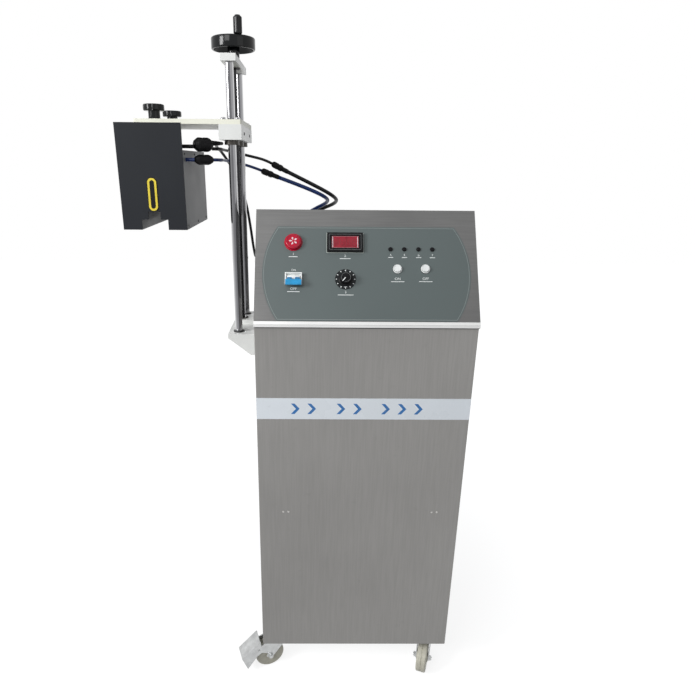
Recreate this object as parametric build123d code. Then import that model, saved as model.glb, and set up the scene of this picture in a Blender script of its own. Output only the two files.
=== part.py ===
from build123d import *
import math
import os

os.makedirs("parts", exist_ok=True)

# All sizes are millimetres; X runs along the cabinet's front, Y to the back, Z up from the floor

# Fits
running_clearance = 0.05
end_play = 0.3

# Cabinet body
cabinet_width = 470.0
cabinet_depth = 420.0
body_underside = 100.0
body_height = 853.0
sheet = 1.5
flange_width = 18.0
corner_radius = 3.0
base_plate_thickness = 3.0
rear_panel_margin = 3.0
rear_slot_height = 8.0
rear_slot_pitch = 18.0
rear_slot_count = 9
rear_slot_margin = 20.0

# Console hood
lip_overhang = 7.0
lip_height = 6.0
panel_run = 124.3
panel_rise = 221.3
roof_drop = 42.3

# Panel overlay
overlay_thickness = 0.8
overlay_start = 8.0
overlay_end = 215.0
overlay_side_margin = 47.0
overlay_bulge = 31.5

# Castors
castor_inset_side = 40.0
castor_inset_end = 48.0
wheel_diameter = 75.0
wheel_width = 25.0
wheel_edge = 4.0
hub_diameter = 24.0
hub_width = 29.0
groove_width = 2.0
groove_depth = 1.5
axle_diameter = 8.0
axle_nut_width = 13.0
axle_nut_height = 5.0
axle_end = 2.0
castor_trail = 30.0
fork_sheet = 2.5
fork_crown_top = 88.0
fork_crown_sheet = 3.0
fork_crown_reach = 20.0
axle_boss_radius = 11.0
kingpin_diameter = 10.0
kingpin_head_diameter = 17.0
kingpin_head_height = 3.0
raceway_diameter = 50.0
top_plate_size = 60.0
top_plate_thickness = 3.0
castor_angles = {"fl": 199.7, "fr": 250.3, "rl": 82.0, "rr": 97.0}

# Brake pedal, measured from its castor's kingpin
pedal_pivot_reach = 62.0
pedal_pivot_height = 66.0
pedal_pin_diameter = 6.0
pedal_sheet = 2.5
pedal_side_gap = 0.3
pedal_ear_radius = 8.0
pedal_top = (58.0, 94.0)
pedal_nose = (106.0, 54.0)
pedal_foot = (92.0, 17.0)
shoe_reach = 70.0
shoe_height = 52.0
shoe_diameter = 6.0

# Mast
mast_offset = 58.0
front_rod_y = -10.0
rod_spacing = 165.6
rod_diameter = 18.0
foot_plate_top = 881.0
foot_plate_thickness = 11.0
foot_plate_reach = 82.0
foot_plate_front_margin = 25.0
foot_plate_back_margin = 26.4
wall_flange_thickness = 4.0
wall_flange_drop = 61.0
gusset_thickness = 6.0
gusset_drop = 54.0
gusset_foot = 27.0
bearing_block_height = 12.0
bearing_block_depth = 42.0
bearing_block_left = 8.0
bearing_block_right = 52.0
cap_underside = 1476.6
cap_thickness = 14.4
cap_width = 32.0
cap_end = 17.2
rod_top_cover = 3.0

# Lead screw and its bushes
screw_diameter = 12.0
journal_diameter = 10.0
screw_bush_diameter = 16.0
screw_bush_length = 10.0
screw_bush_flange = 28.0
screw_bush_flange_height = 2.0
journal_length = 8.0

# Handwheel
handwheel_gap = 2.0
handwheel_hub_diameter = 28.0
handwheel_hub_height = 43.0
rim_radius = 41.0
rim_section = 16.0
rim_rise = 38.0
spoke_width = 10.0
spoke_thickness = 7.0
spoke_count = 3
handle_angle = 22.0
handle_radius = 42.0
handle_diameter = 19.0
handle_length = 34.0
handle_bolt_diameter = 8.0
handle_bolt_head = 13.0
handle_bolt_head_height = 2.0

# Carriage
block_half_width = 24.5
block_underside = 1321.6
block_height = 31.1
block_end = 24.7
arm_thickness = 10.0
arm_reach = 207.0
arm_corner = 3.0
guide_bush_diameter = 26.0
guide_flange_diameter = 32.0
guide_flange_height = 10.0
arm_hole_margin = 4.0
arm_screw_inset = 9.0
arm_screw_end = 12.0
arm_screw_diameter = 6.0
arm_screw_depth = 20.0
arm_screw_head = 12.0
arm_screw_head_height = 5.0

# Sealing head
head_offset = 166.6
head_width = 139.4
head_bottom = 1132.9
head_height = 166.1
head_depth = 243.7
head_front_y = -70.3
head_wall = 4.0
head_roof = 8.0
front_plate_thickness = 4.0
pillar_diameter = 25.0
channel_width = 58.0
channel_height = 22.0
slot_width = 27.0
slot_height = 17.0
core_width = 100.0
core_height = 60.0
core_end_gap = 20.0
cable_boss_size = 18.0
cable_boss_inset = 22.1
cable_boss_height = 17.0

# Star knobs
knob_head_diameter = 45.0
knob_head_height = 13.6
knob_neck_diameter = 25.0
knob_neck_height = 16.6
knob_lobes = 6
knob_lobe_notch = 11.0
knob_notch_offset = 2.75
knob_lobe_angle = 30.0
stud_diameter = 10.0
stud_depth = 28.0
stud_hole_diameter = 11.0

# Panel devices, each placed by its offset from the middle and its distance up the panel
buzzer_place = (-154.6, 179.0)
buzzer_diameter = 34.0
buzzer_body_diameter = 26.0
buzzer_height = 9.0
buzzer_depth = 24.0
buzzer_edge = 3.0
meter_place = (-45.0, 178.5)
meter_size = (76.0, 42.0)
meter_body = (68.0, 35.0)
meter_height = 6.5
meter_depth = 34.0
window_size = (57.6, 26.7)
window_recess = 3.0
window_thickness = 1.6
breaker_place = (-153.5, 98.0)
breaker_nose = (35.5, 24.7)
breaker_body_size = (35.5, 82.0)
breaker_nose_height = 8.0
breaker_shoulder = 14.0
breaker_depth = 62.0
breaker_slot = (30.0, 20.0)
toggle_axis_height = 3.0
toggle_barrel = 7.5
toggle_reach = 17.0
toggle_thickness = 5.0
toggle_width = 27.0
toggle_rest_angle = 30.0
toggle_slot_floor = 2.0
dial_place = (-44.4, 98.0)
dial_diameter = 44.0
dial_thickness = 1.0
pot_bush_diameter = 9.5
pot_diameter = 28.0
pot_depth = 18.0
knob_diameter = 24.0
knob_height = 14.0
knob_gap = 0.5
knob_edge = 1.5
pointer_width = 5.0
pointer_height = 3.0
pointer_angle = 50.0
shaft_diameter = 6.0
lamp_places = ((51.4, 165.0), (80.7, 165.0), (110.7, 165.0), (140.0, 165.0))
lamp_diameter = 8.5
lamp_body_diameter = 7.5
lamp_height = 3.5
lamp_depth = 12.0
start_place = (65.2, 121.0)
stop_place = (124.1, 121.5)
bezel_diameter = 19.0
bezel_height = 2.0
button_diameter = 14.0
button_proud = 3.0
button_travel = 2.5
barrel_diameter = 17.0
barrel_depth = 24.0

# Rear fittings; ports by their distance from the left side and their height
port_places = ((75.0, 1066.0), (35.0, 1082.0), (45.0, 1010.0))
port_hole = 12.0
port_flange = 22.0
port_flange_height = 5.0
port_ferrule = 14.0
port_length = 26.0
port_tail = 14.0
port_nut_height = 6.0
mains_from_side = 85.0
mains_z = 150.0
mains_bore = 10.0
mains_thread = 16.0
mains_hex = 24.0
mains_hex_height = 6.0
mains_dome = 18.0
mains_length = 20.0

# Inside the cabinet
shelf_height = 490.0
shelf_sheet = 2.0
shelf_flange = 22.0
unit_size = (300.0, 250.0, 180.0)
unit_centre_y = 10.0
tank_from_side = 20.0
tank_near_y = -180.0
tank_size = (180.0, 280.0, 235.0)
tank_wall = 3.0
tank_cap_diameter = 50.0
tank_cap_height = 14.0
tank_cap_share = 0.25
pump_from_side = 125.0
pump_y = -90.0
pump_base = (110.0, 150.0, 8.0)
pump_axis_height = 55.0
pump_motor_diameter = 85.0
pump_motor_length = 90.0
pump_head_diameter = 70.0
pump_head_length = 35.0
pump_foot_width = 35.0
fan_from_side = 135.0
fan_z = 290.0
fan_frame_size = 200.0
fan_frame_depth = 45.0
fan_bore = 188.0
fan_rotor_diameter = 184.0
fan_hub_diameter = 62.0
fan_hub_depth = 30.0
fan_blade_count = 7
fan_blade_thickness = 3.0
fan_blade_depth = 26.0
fan_blade_tilt = 35.0
fan_blade_root = 3.0
fan_strut_width = 14.0
fan_strut_depth = 8.0
radiator_depth = 40.0
radiator_rim = 12.0
radiator_tube_count = 7
radiator_tube_height = 8.0

# Inline connectors, placed from the head's right side, front and top
connector_start = (18.9, 27.3)
connector_end = (54.9, 50.3)
black_connector_rise = 12.0
black_connector_diameter = 29.0
blue_connector_rise = -19.0
blue_connector_diameter = 21.0
stub_diameter = 8.0
black_outlet_drop = 8.0
cable_outlet_rise = 3.5

# Hoses, cable and couplings; their points are placed in X from the mast
hose_diameter = 7.0
tail_diameter = 10.0
coupling_diameter = 16.0
coupling_small_diameter = 12.0
coupling_large_share = 0.6
coupling_gap = 0.1
black_coupling_start = (73.8, 196.0, 1272.9)
black_coupling_end = (115.1, 198.0, 1252.2)
blue_coupling_start = (46.2, 196.0, 1255.4)
blue_coupling_end = (91.4, 198.0, 1238.3)
black_coupling_lead = 20.0
blue_coupling_lead = 37.0
black_head_bends = ((-21, 2, 1303), (-40, 54, 1303), (-44, 120, 1305), (-38, 181, 1303), (21, 193, 1290))
blue_head_bends = ((-21, 2, 1280), (-40, 54, 1279), (-44, 120, 1281), (-38, 182, 1278))
cable_bends = (
    (-20, 3, 1315), (-39, 55, 1316), (-58, 112, 1314), (-52, 172, 1301), (-25, 212, 1252), (1, 206, 1185),
    (13, 200, 1112), (19, 206, 1052), (21, 246, 1016), (47, 286, 1014), (103, 290, 1010),
)
black_tail_bends = (
    (179, 206, 1222), (237, 222, 1192), (251, 274, 1172), (199, 314, 1148), (147, 322, 1118),
    (133, 292, 1066),
)
blue_tail_bends = (
    (152, 205, 1217), (211, 214, 1192), (227, 264, 1174), (181, 290, 1150), (135, 304, 1119), (93, 288, 1082),
)
bend_share = 0.45

# Places worked out from the sizes
side = cabinet_width / 2
front = -cabinet_depth / 2
back = cabinet_depth / 2
body_top = body_underside + body_height
lip_front = front - lip_overhang
lip_top = body_top + lip_height
ridge_y = lip_front + panel_run
ridge_top = lip_top + panel_rise
roof_back = ridge_top - roof_drop
panel_angle = math.atan2(panel_rise, panel_run)
panel_normal = (0, -math.sin(panel_angle), math.cos(panel_angle))
panel = Plane(origin=(0, lip_front, lip_top), x_dir=(1, 0, 0), z_dir=panel_normal)
mast_x = -side - mast_offset
rear_rod_y = front_rod_y + rod_spacing
screw_y = (front_rod_y + rear_rod_y) / 2
rod_places = (front_rod_y, rear_rod_y)
cap_top = cap_underside + cap_thickness
bearing_top = foot_plate_top + bearing_block_height
hub_bottom = cap_top + handwheel_gap
hub_top = hub_bottom + handwheel_hub_height
rim_height = cap_top + rim_rise
handle_bottom = rim_height + rim_section / 2 + end_play
handle_x = mast_x + handle_radius * math.sin(math.radians(handle_angle))
handle_y = screw_y - handle_radius * math.cos(math.radians(handle_angle))
arm_bottom = block_underside + block_height
arm_top = arm_bottom + arm_thickness
head_x = mast_x - head_offset
head_left = head_x - head_width / 2
head_right = head_x + head_width / 2
head_back_y = head_front_y + head_depth
head_top = head_bottom + head_height
channel_top = head_bottom + channel_height
slot_top = channel_top + slot_height
wheel_radius = wheel_diameter / 2
fork_half_gap = hub_width / 2 + end_play
fork_half_width = fork_half_gap + fork_sheet
axle_half_length = fork_half_width + axle_nut_height + axle_end
crown_bottom = fork_crown_top - fork_crown_sheet
castor_x = side - castor_inset_side
castor_y = back - castor_inset_end
castor_places = {
    "fl": (-castor_x, -castor_y), "fr": (castor_x, -castor_y),
    "rl": (-castor_x, castor_y), "rr": (castor_x, castor_y),
}
base_top = body_underside + sheet + base_plate_thickness
button_places = {"start": start_place, "stop": stop_place}
port_face = back + port_flange_height
port_end = back + port_length
frame_shift = (-head_left - side) / 2
overlay_half_width = side - overlay_side_margin
mains_x = side - mains_from_side
pump_x = side - pump_from_side
fan_x = side - fan_from_side
ports = [(port_from_left - side, port_level) for port_from_left, port_level in port_places]
cable_boss_x = head_right - cable_boss_inset
connector_foot = (head_right + connector_start[0], head_front_y + connector_start[1])
connector_mouth = (head_right + connector_end[0], head_front_y + connector_end[1])
black_connector_height = head_top + black_connector_rise
blue_connector_height = head_top + blue_connector_rise


def block(x0, x1, y0, y1, z0, z1):
    """Box between two corners."""
    middle = Pos((x0 + x1) / 2, (y0 + y1) / 2, (z0 + z1) / 2)
    return middle * Box(x1 - x0, y1 - y0, z1 - z0)


def upright(x, y, z0, z1, diameter):
    """Round bar along Z."""
    return Pos(x, y, (z0 + z1) / 2) * Cylinder(diameter / 2, z1 - z0)


def along_y(x, z, y0, y1, diameter):
    """Round bar along Y."""
    return Pos(x, (y0 + y1) / 2, z) * Rot(90, 0, 0) * Cylinder(diameter / 2, y1 - y0)


def between(start, end, diameter):
    """Round bar from one point to another."""
    direction = Vector(*end) - Vector(*start)
    foot = Plane(origin=start, z_dir=direction)
    return extrude(foot * Circle(diameter / 2), direction.length)


def fork_slab(points, y0, y1):
    """Outline in reach and height, pulled from y0 to y1."""
    face = make_face(Polyline(*points, close=True))
    return extrude(Plane.XZ.offset(-y1) * face, y1 - y0)


def group(solids):
    """Several solids kept apart in one node."""
    return Compound(children=[item for item in solids])


def save(name, shape):
    """Moves a finished piece into the part's frame and writes it."""
    export_step(Pos(frame_shift, 0, 0) * shape, os.path.join("parts", name + ".step"))


def on_panel(place, shape):
    """Puts a shape drawn about the panel's surface at its place."""
    return panel * (Pos(place[0], place[1], 0) * shape)


def raised(low, high, width, height):
    """Box standing between two levels over the panel."""
    return Pos(0, 0, (low + high) / 2) * Box(width, height, high - low)


def disc(low, high, diameter):
    """Round bar between two levels over the panel."""
    return Pos(0, 0, (low + high) / 2) * Cylinder(diameter / 2, high - low)


def panel_holes():
    """Cutters for everything that passes through the panel."""
    depth = 2 * sheet
    holes = [on_panel(buzzer_place, disc(-depth, depth, buzzer_body_diameter))]
    holes.append(on_panel(meter_place, raised(-depth, depth, *meter_body)))
    holes.append(on_panel(breaker_place, raised(-depth, depth, *breaker_nose)))
    holes.append(on_panel(dial_place, disc(-depth, depth, pot_bush_diameter)))
    holes += [on_panel(place, disc(-depth, depth, lamp_body_diameter)) for place in lamp_places]
    holes += [on_panel(place, disc(-depth, depth, barrel_diameter)) for place in button_places.values()]
    return holes


def cabinet_shell():
    """Front and sides from one sheet, with flanges all round."""
    outer = block(-side, side, front, back, body_underside, body_top)
    bends = outer.edges().filter_by(Axis.Z).sort_by(Axis.Y)[:2]
    outer = fillet(bends, corner_radius)
    low = body_underside + sheet
    inner = block(-side + sheet, side - sheet, front + sheet, back - sheet, low, body_top - sheet)
    bends = inner.edges().filter_by(Axis.Z).sort_by(Axis.Y)[:2]
    inner = fillet(bends, corner_radius - sheet)
    left = -side + flange_width
    near = front + flange_width
    well = block(left, -left, near, -near, body_underside - sheet, body_top + sheet)
    low = body_underside + flange_width
    rear = block(left, -left, back - 2 * sheet, back + sheet, low, body_top - flange_width)
    return outer - inner - well - rear


def console_hood():
    """Sloping panel, sides, falling roof and rear wall, open below."""
    outline = Polyline(
        (lip_front, body_top),
        (lip_front, lip_top),
        (ridge_y, ridge_top),
        (back, roof_back),
        (back, body_top),
        close=True,
    )
    face = make_face(outline)
    hood = extrude(Plane.YZ.offset(-side) * face, cabinet_width)
    inner = offset(face, -sheet, kind=Kind.INTERSECTION)
    room = extrude(Plane.YZ.offset(-side + sheet) * inner, cabinet_width - 2 * sheet)
    left = -side + flange_width
    near = front + flange_width
    well = block(left, -left, near, -near, body_top - sheet, body_top + 2 * sheet)
    hood = hood - room - well
    for hole in panel_holes():
        hood -= hole
    for x, z in ports:
        hood -= along_y(x, z, back - 2 * sheet, back + sheet, port_hole)
    return hood


def base_plate():
    """Floor plate on the lower flange, with a pad over each castor."""
    left = -side + sheet
    near = front + corner_radius
    plate = block(left, -left, near, back - sheet, body_underside + sheet, base_top)
    edge_x = side - flange_width
    edge_y = back - flange_width
    half = top_plate_size / 2
    for x, y in castor_places.values():
        x0, x1 = max(x - half, -edge_x), min(x + half, edge_x)
        y0, y1 = max(y - half, -edge_y), min(y + half, edge_y)
        plate += block(x0, x1, y0, y1, body_underside, body_underside + sheet)
    return plate


def rear_panel():
    """Sheet over the rear flange, with air slots and the mains hole."""
    low = body_underside + rear_panel_margin
    wide = side - rear_panel_margin
    plate = block(-wide, wide, back, back + sheet, low, body_top - rear_panel_margin)
    half = fan_frame_size / 2 - rear_slot_margin
    first = fan_z - rear_slot_pitch * (rear_slot_count - 1) / 2
    for number in range(rear_slot_count):
        low_edge = first + number * rear_slot_pitch - rear_slot_height / 2
        high_edge = low_edge + rear_slot_height
        plate -= block(fan_x - half, fan_x + half, back - sheet, back + 2 * sheet, low_edge, high_edge)
    return plate - along_y(mains_x, mains_z, back - sheet, back + 2 * sheet, mains_thread)


def equipment_shelf():
    """Tray across the cabinet with turned-down edges."""
    left = -side + sheet
    near = front + corner_radius
    far = back - sheet
    low = shelf_height - shelf_flange
    tray = block(left, -left, near, far, low, shelf_height)
    room = block(left + shelf_sheet, -left - shelf_sheet, near + shelf_sheet, far - shelf_sheet, low - sheet,
                 shelf_height - shelf_sheet)
    return tray - room


def panel_overlay():
    """Thin plate on the panel with bowed sides."""
    middle = (overlay_start + overlay_end) / 2
    wide = overlay_half_width
    bulge = wide + overlay_bulge
    low_edge = Line((-wide, overlay_start), (wide, overlay_start))
    right = ThreePointArc((wide, overlay_start), (bulge, middle), (wide, overlay_end))
    high_edge = Line((wide, overlay_end), (-wide, overlay_end))
    left = ThreePointArc((-wide, overlay_end), (-bulge, middle), (-wide, overlay_start))
    plate = panel * extrude(make_face([low_edge, right, high_edge, left]), overlay_thickness)
    for hole in panel_holes():
        plate -= hole
    return plate


def warning_buzzer():
    """Round sounder clamped in the panel."""
    top = overlay_thickness + buzzer_height
    dome = disc(overlay_thickness, top, buzzer_diameter)
    dome = fillet(dome.edges().group_by(Axis.Z)[-1], buzzer_edge)
    return on_panel(buzzer_place, dome + disc(-buzzer_depth, overlay_thickness, buzzer_body_diameter))


def meter_case():
    """Bezel with the window's recess, and the body behind."""
    top = overlay_thickness + meter_height
    case = raised(overlay_thickness, top, *meter_size) + raised(-meter_depth, overlay_thickness, *meter_body)
    return on_panel(meter_place, case - raised(top - window_recess, top + sheet, *window_size))


def meter_window():
    """Red pane on the floor of the recess."""
    floor = overlay_thickness + meter_height - window_recess
    return on_panel(meter_place, raised(floor, floor + window_thickness, *window_size))


def breaker_body():
    """Breaker with its nose through the panel and a bore for the toggle."""
    body = raised(-breaker_depth, -breaker_shoulder, *breaker_body_size)
    body += raised(-breaker_shoulder, breaker_nose_height, *breaker_nose)
    slot_width_x, slot_length = breaker_slot
    body -= raised(toggle_slot_floor, breaker_nose_height + sheet, slot_width_x, slot_length)
    bore_radius = toggle_barrel + running_clearance
    bore = Pos(0, 0, toggle_axis_height) * Rot(0, 90, 0) * Cylinder(bore_radius, slot_width_x)
    return on_panel(breaker_place, body - bore)


def breaker_toggle():
    """Tied handle of both poles, in the low position."""
    barrel = Rot(0, 90, 0) * Cylinder(toggle_barrel, toggle_width)
    lever = Pos(0, 0, toggle_reach / 2) * Box(toggle_width, toggle_thickness, toggle_reach)
    turned = Rot(toggle_rest_angle, 0, 0) * (barrel + lever)
    return on_panel(breaker_place, Pos(0, 0, toggle_axis_height) * turned)


def dial_plate():
    """Disc under the control knob."""
    low = overlay_thickness
    plate = disc(low, low + dial_thickness, dial_diameter)
    return on_panel(dial_place, plate - disc(0, low + 2 * dial_thickness, pot_bush_diameter))


def potentiometer():
    """Body behind the panel with its threaded bush."""
    bush_top = overlay_thickness + dial_thickness
    body = disc(-pot_depth, -sheet, pot_diameter) + disc(-sheet, bush_top, pot_bush_diameter)
    bore = shaft_diameter + 2 * running_clearance
    return on_panel(dial_place, body - disc(-pot_depth + sheet, bush_top + sheet, bore))


def power_knob():
    """Control knob with its pointer rib and shaft."""
    low = overlay_thickness + dial_thickness + knob_gap
    top = low + knob_height
    body = disc(low, top, knob_diameter)
    body = fillet(body.edges().group_by(Axis.Z)[-1], knob_edge)
    rib_length = knob_diameter / 2 - knob_edge
    rib = raised(top - knob_edge, top + pointer_height - knob_edge, rib_length, pointer_width)
    rib = Rot(0, 0, pointer_angle) * Pos(-rib_length / 2, 0, 0) * rib
    shaft = disc(-pot_depth + sheet + end_play, low + knob_edge, shaft_diameter)
    return on_panel(dial_place, body + rib + shaft)


def indicator_lamps():
    """Four small lamps with domed heads."""
    low = overlay_thickness
    lamps = []
    for place in lamp_places:
        head = disc(low, low + lamp_height, lamp_diameter)
        head = fillet(head.edges().group_by(Axis.Z)[-1], lamp_height / 2)
        lamps.append(on_panel(place, head + disc(-lamp_depth, low, lamp_body_diameter)))
    return group(lamps)


def button_bezels():
    """Two round bezels with their barrels."""
    low = overlay_thickness
    bezels = []
    for place in button_places.values():
        bezel = disc(low, low + bezel_height, bezel_diameter) + disc(-barrel_depth, low, barrel_diameter)
        floor = -barrel_depth + sheet
        bore = disc(floor, low + 2 * bezel_height, button_diameter + 2 * running_clearance)
        bezels.append(on_panel(place, bezel - bore))
    return group(bezels)


def push_button(place):
    """Plunger of one button."""
    top = overlay_thickness + bezel_height + button_proud
    low = -barrel_depth + sheet + button_travel + end_play
    return on_panel(place, disc(low, top, button_diameter))


def mains_inlet():
    """Cable gland on the rear panel."""
    outer = back + sheet
    gland = along_y(mains_x, mains_z, outer, outer + mains_length, mains_dome)
    flange = Plane(origin=(mains_x, outer, mains_z), z_dir=(0, 1, 0)) * RegularPolygon(mains_hex / 2, 6)
    gland += extrude(flange, mains_hex_height)
    gland += along_y(mains_x, mains_z, back - mains_hex_height, outer, mains_thread)
    return gland - along_y(mains_x, mains_z, back - mains_length, back + 2 * mains_length, mains_bore)


def hose_ports():
    """Three bulkhead fittings in the hood's rear wall."""
    fittings = []
    for x, z in ports:
        port = along_y(x, z, back, port_face, port_flange)
        port += along_y(x, z, port_face, port_end, port_ferrule)
        inside = back - sheet
        port += along_y(x, z, inside, back, port_hole)
        port += along_y(x, z, inside - port_nut_height, inside, port_flange)
        port += along_y(x, z, inside - port_tail, inside - port_nut_height, port_hole)
        fittings.append(port)
    return group(fittings)


def water_tank():
    """Open-walled tank with its screw cap."""
    x0, y0 = tank_from_side - side, tank_near_y
    width, depth, height = tank_size
    top = base_top + height
    tank = block(x0, x0 + width, y0, y0 + depth, base_top, top)
    tank -= block(x0 + tank_wall, x0 + width - tank_wall, y0 + tank_wall, y0 + depth - tank_wall,
                  base_top + tank_wall, top - tank_wall)
    cap_y = y0 + depth * tank_cap_share
    return tank + upright(x0 + width / 2, cap_y, top, top + tank_cap_height, tank_cap_diameter)


def water_pump():
    """Motor and pump head on one base."""
    width, depth, thick = pump_base
    near = pump_y - depth / 2
    axis = base_top + pump_axis_height
    pump = block(pump_x - width / 2, pump_x + width / 2, near, near + depth, base_top, base_top + thick)
    split = near + pump_head_length
    pump += along_y(pump_x, axis, near, split, pump_head_diameter)
    pump += along_y(pump_x, axis, split, split + pump_motor_length, pump_motor_diameter)
    foot = pump_foot_width / 2
    return pump + block(pump_x - foot, pump_x + foot, near, split + pump_motor_length, base_top, axis)


def fan_frame():
    """Square fan frame with struts to the centre pin."""
    half = fan_frame_size / 2
    near = back - fan_frame_depth
    frame = block(fan_x - half, fan_x + half, near, back, fan_z - half, fan_z + half)
    frame -= along_y(fan_x, fan_z, near - sheet, back + sheet, fan_bore)
    bar = fan_strut_width / 2
    strut = near + fan_strut_depth
    frame += block(fan_x - half, fan_x + half, near, strut, fan_z - bar, fan_z + bar)
    frame += block(fan_x - bar, fan_x + bar, near, strut, fan_z - half, fan_z + half)
    return frame + along_y(fan_x, fan_z, near, strut + fan_hub_depth, shaft_diameter)


def fan_rotor():
    """Hub with tilted blades, turning on the frame's pin."""
    near = back - fan_frame_depth + fan_strut_depth + end_play
    far = near + fan_hub_depth
    middle = (near + far) / 2
    rotor = along_y(fan_x, fan_z, near, far, fan_hub_diameter)
    length = (fan_rotor_diameter - fan_hub_diameter) / 2 + fan_blade_root
    blade = Box(length, fan_blade_depth, fan_blade_thickness)
    blade = Pos((fan_rotor_diameter - length) / 2 - end_play, 0, 0) * Rot(fan_blade_tilt, 0, 0) * blade
    for number in range(fan_blade_count):
        turn = Rot(0, number * 360 / fan_blade_count, 0)
        rotor += Pos(fan_x, middle, fan_z) * turn * blade
    bore = shaft_diameter + 2 * running_clearance
    return rotor - along_y(fan_x, fan_z, near - sheet, far + sheet, bore)


def radiator():
    """Cooler in front of the fan, with flat tubes across its frame."""
    half = fan_frame_size / 2
    far = back - fan_frame_depth
    near = far - radiator_depth
    core = block(fan_x - half, fan_x + half, near, far, fan_z - half, fan_z + half)
    inner = half - radiator_rim
    core -= block(fan_x - inner, fan_x + inner, near - sheet, far + sheet, fan_z - inner, fan_z + inner)
    pitch = 2 * inner / (radiator_tube_count + 1)
    for number in range(radiator_tube_count):
        z = fan_z - inner + (number + 1) * pitch
        low = z - radiator_tube_height / 2
        high = low + radiator_tube_height
        core += block(fan_x - inner - sheet, fan_x + inner + sheet, near, far, low, high)
    return core


def power_unit():
    """Generator case on the shelf."""
    width, depth, height = unit_size
    near = unit_centre_y - depth / 2
    case = block(-width / 2, width / 2, near, near + depth, shelf_height, shelf_height + height)
    return fillet(case.edges().filter_by(Axis.Z), corner_radius)


def castor_plates():
    """Top plates with raceways and kingpins, one at each corner."""
    half = top_plate_size / 2
    plate_low = body_underside - top_plate_thickness
    head_top_level = crown_bottom - end_play
    plates = []
    for x, y in castor_places.values():
        plate = block(x - half, x + half, y - half, y + half, plate_low, body_underside)
        plate += upright(x, y, fork_crown_top + end_play, plate_low, raceway_diameter)
        plate += upright(x, y, head_top_level, fork_crown_top + end_play, kingpin_diameter)
        plate += upright(x, y, head_top_level - kingpin_head_height, head_top_level, kingpin_head_diameter)
        plates.append(plate)
    return group(plates)


def cheek_outline():
    """Side view of a fork, reach along the trail and height."""
    boss = axle_boss_radius
    return [
        (-fork_crown_reach, fork_crown_top), (-fork_crown_reach, crown_bottom),
        (castor_trail - boss, wheel_radius), (castor_trail, wheel_radius - boss),
        (castor_trail + boss, wheel_radius), (fork_crown_reach, fork_crown_top),
    ]


def ear_outline():
    """Side view of the fork's ear that carries the brake pedal."""
    ear = pedal_ear_radius
    return [
        (0, fork_crown_top), (castor_trail - axle_boss_radius, wheel_radius),
        (castor_trail + axle_boss_radius, wheel_radius + axle_boss_radius),
        (pedal_pivot_reach, pedal_pivot_height - ear), (pedal_pivot_reach + ear, pedal_pivot_height),
        (pedal_pivot_reach, pedal_pivot_height + ear), (fork_crown_reach, fork_crown_top),
    ]


def castor_fork(key):
    """Fork with its axle and nuts, turned to its trailing direction."""
    fork = upright(0, 0, crown_bottom, fork_crown_top, raceway_diameter)
    reach = fork_crown_reach
    fork += block(-reach, reach, -fork_half_width, fork_half_width, crown_bottom, fork_crown_top)
    outlines = [cheek_outline()]
    if key == "fl":
        outlines.append(ear_outline())
        pin = fork_half_width + pedal_side_gap + pedal_sheet + axle_end
        fork += along_y(pedal_pivot_reach, pedal_pivot_height, -pin, pin, pedal_pin_diameter)
    for outline in outlines:
        fork += fork_slab(outline, fork_half_gap, fork_half_width)
        fork += fork_slab(outline, -fork_half_width, -fork_half_gap)
    fork += along_y(castor_trail, wheel_radius, -axle_half_length, axle_half_length, axle_diameter)
    for start in (fork_half_width, -fork_half_width - axle_nut_height):
        nut_face = Plane(origin=(castor_trail, start, wheel_radius), z_dir=(0, 1, 0))
        fork += extrude(nut_face * RegularPolygon(axle_nut_width / 2, 6), axle_nut_height)
    fork -= upright(0, 0, 0, body_underside, kingpin_diameter + 2 * running_clearance)
    return turned_castor(key, fork)


def turned_castor(key, shape):
    """Puts a piece drawn about the kingpin at its corner."""
    x, y = castor_places[key]
    return Pos(x, y, 0) * Rot(0, 0, castor_angles[key]) * shape


def castor_wheel(key):
    """Grooved wheel with its hub."""
    tyre = Rot(90, 0, 0) * Cylinder(wheel_radius, wheel_width)
    tyre = fillet(tyre.edges(), wheel_edge)
    ring = Cylinder(wheel_diameter, groove_width) - Cylinder(wheel_radius - groove_depth, groove_width)
    wheel = tyre + Rot(90, 0, 0) * Cylinder(hub_diameter / 2, hub_width) - Rot(90, 0, 0) * ring
    wheel -= Rot(90, 0, 0) * Cylinder(axle_diameter / 2 + running_clearance, 2 * hub_width)
    return turned_castor(key, Pos(castor_trail, 0, wheel_radius) * wheel)


def brake_pedal():
    """Folded pedal with ears on the fork's pin and a shoe for the wheel."""
    inner = fork_half_width + pedal_side_gap
    outer = inner + pedal_sheet
    shoe = along_y(shoe_reach, shoe_height, -outer, outer, shoe_diameter)
    path = Polyline(pedal_top, pedal_nose, pedal_foot)
    pedal = extrude(Plane.XZ.offset(-outer) * trace(path, pedal_sheet), 2 * outer)
    ear = pedal_ear_radius
    outline = [
        (pedal_pivot_reach - ear, pedal_pivot_height - ear),
        (pedal_top[0] - pedal_sheet / 2, pedal_top[1]),
        pedal_top,
        pedal_nose,
        pedal_foot,
        (shoe_reach - shoe_diameter / 2, shoe_height - shoe_diameter / 2),
    ]
    pedal += shoe
    pedal += fork_slab(outline, inner, outer)
    pedal += fork_slab(outline, -outer, -inner)
    bore = pedal_pin_diameter + 2 * running_clearance
    pedal -= along_y(pedal_pivot_reach, pedal_pivot_height, -2 * outer, 2 * outer, bore)
    return turned_castor("fl", pedal)


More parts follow.
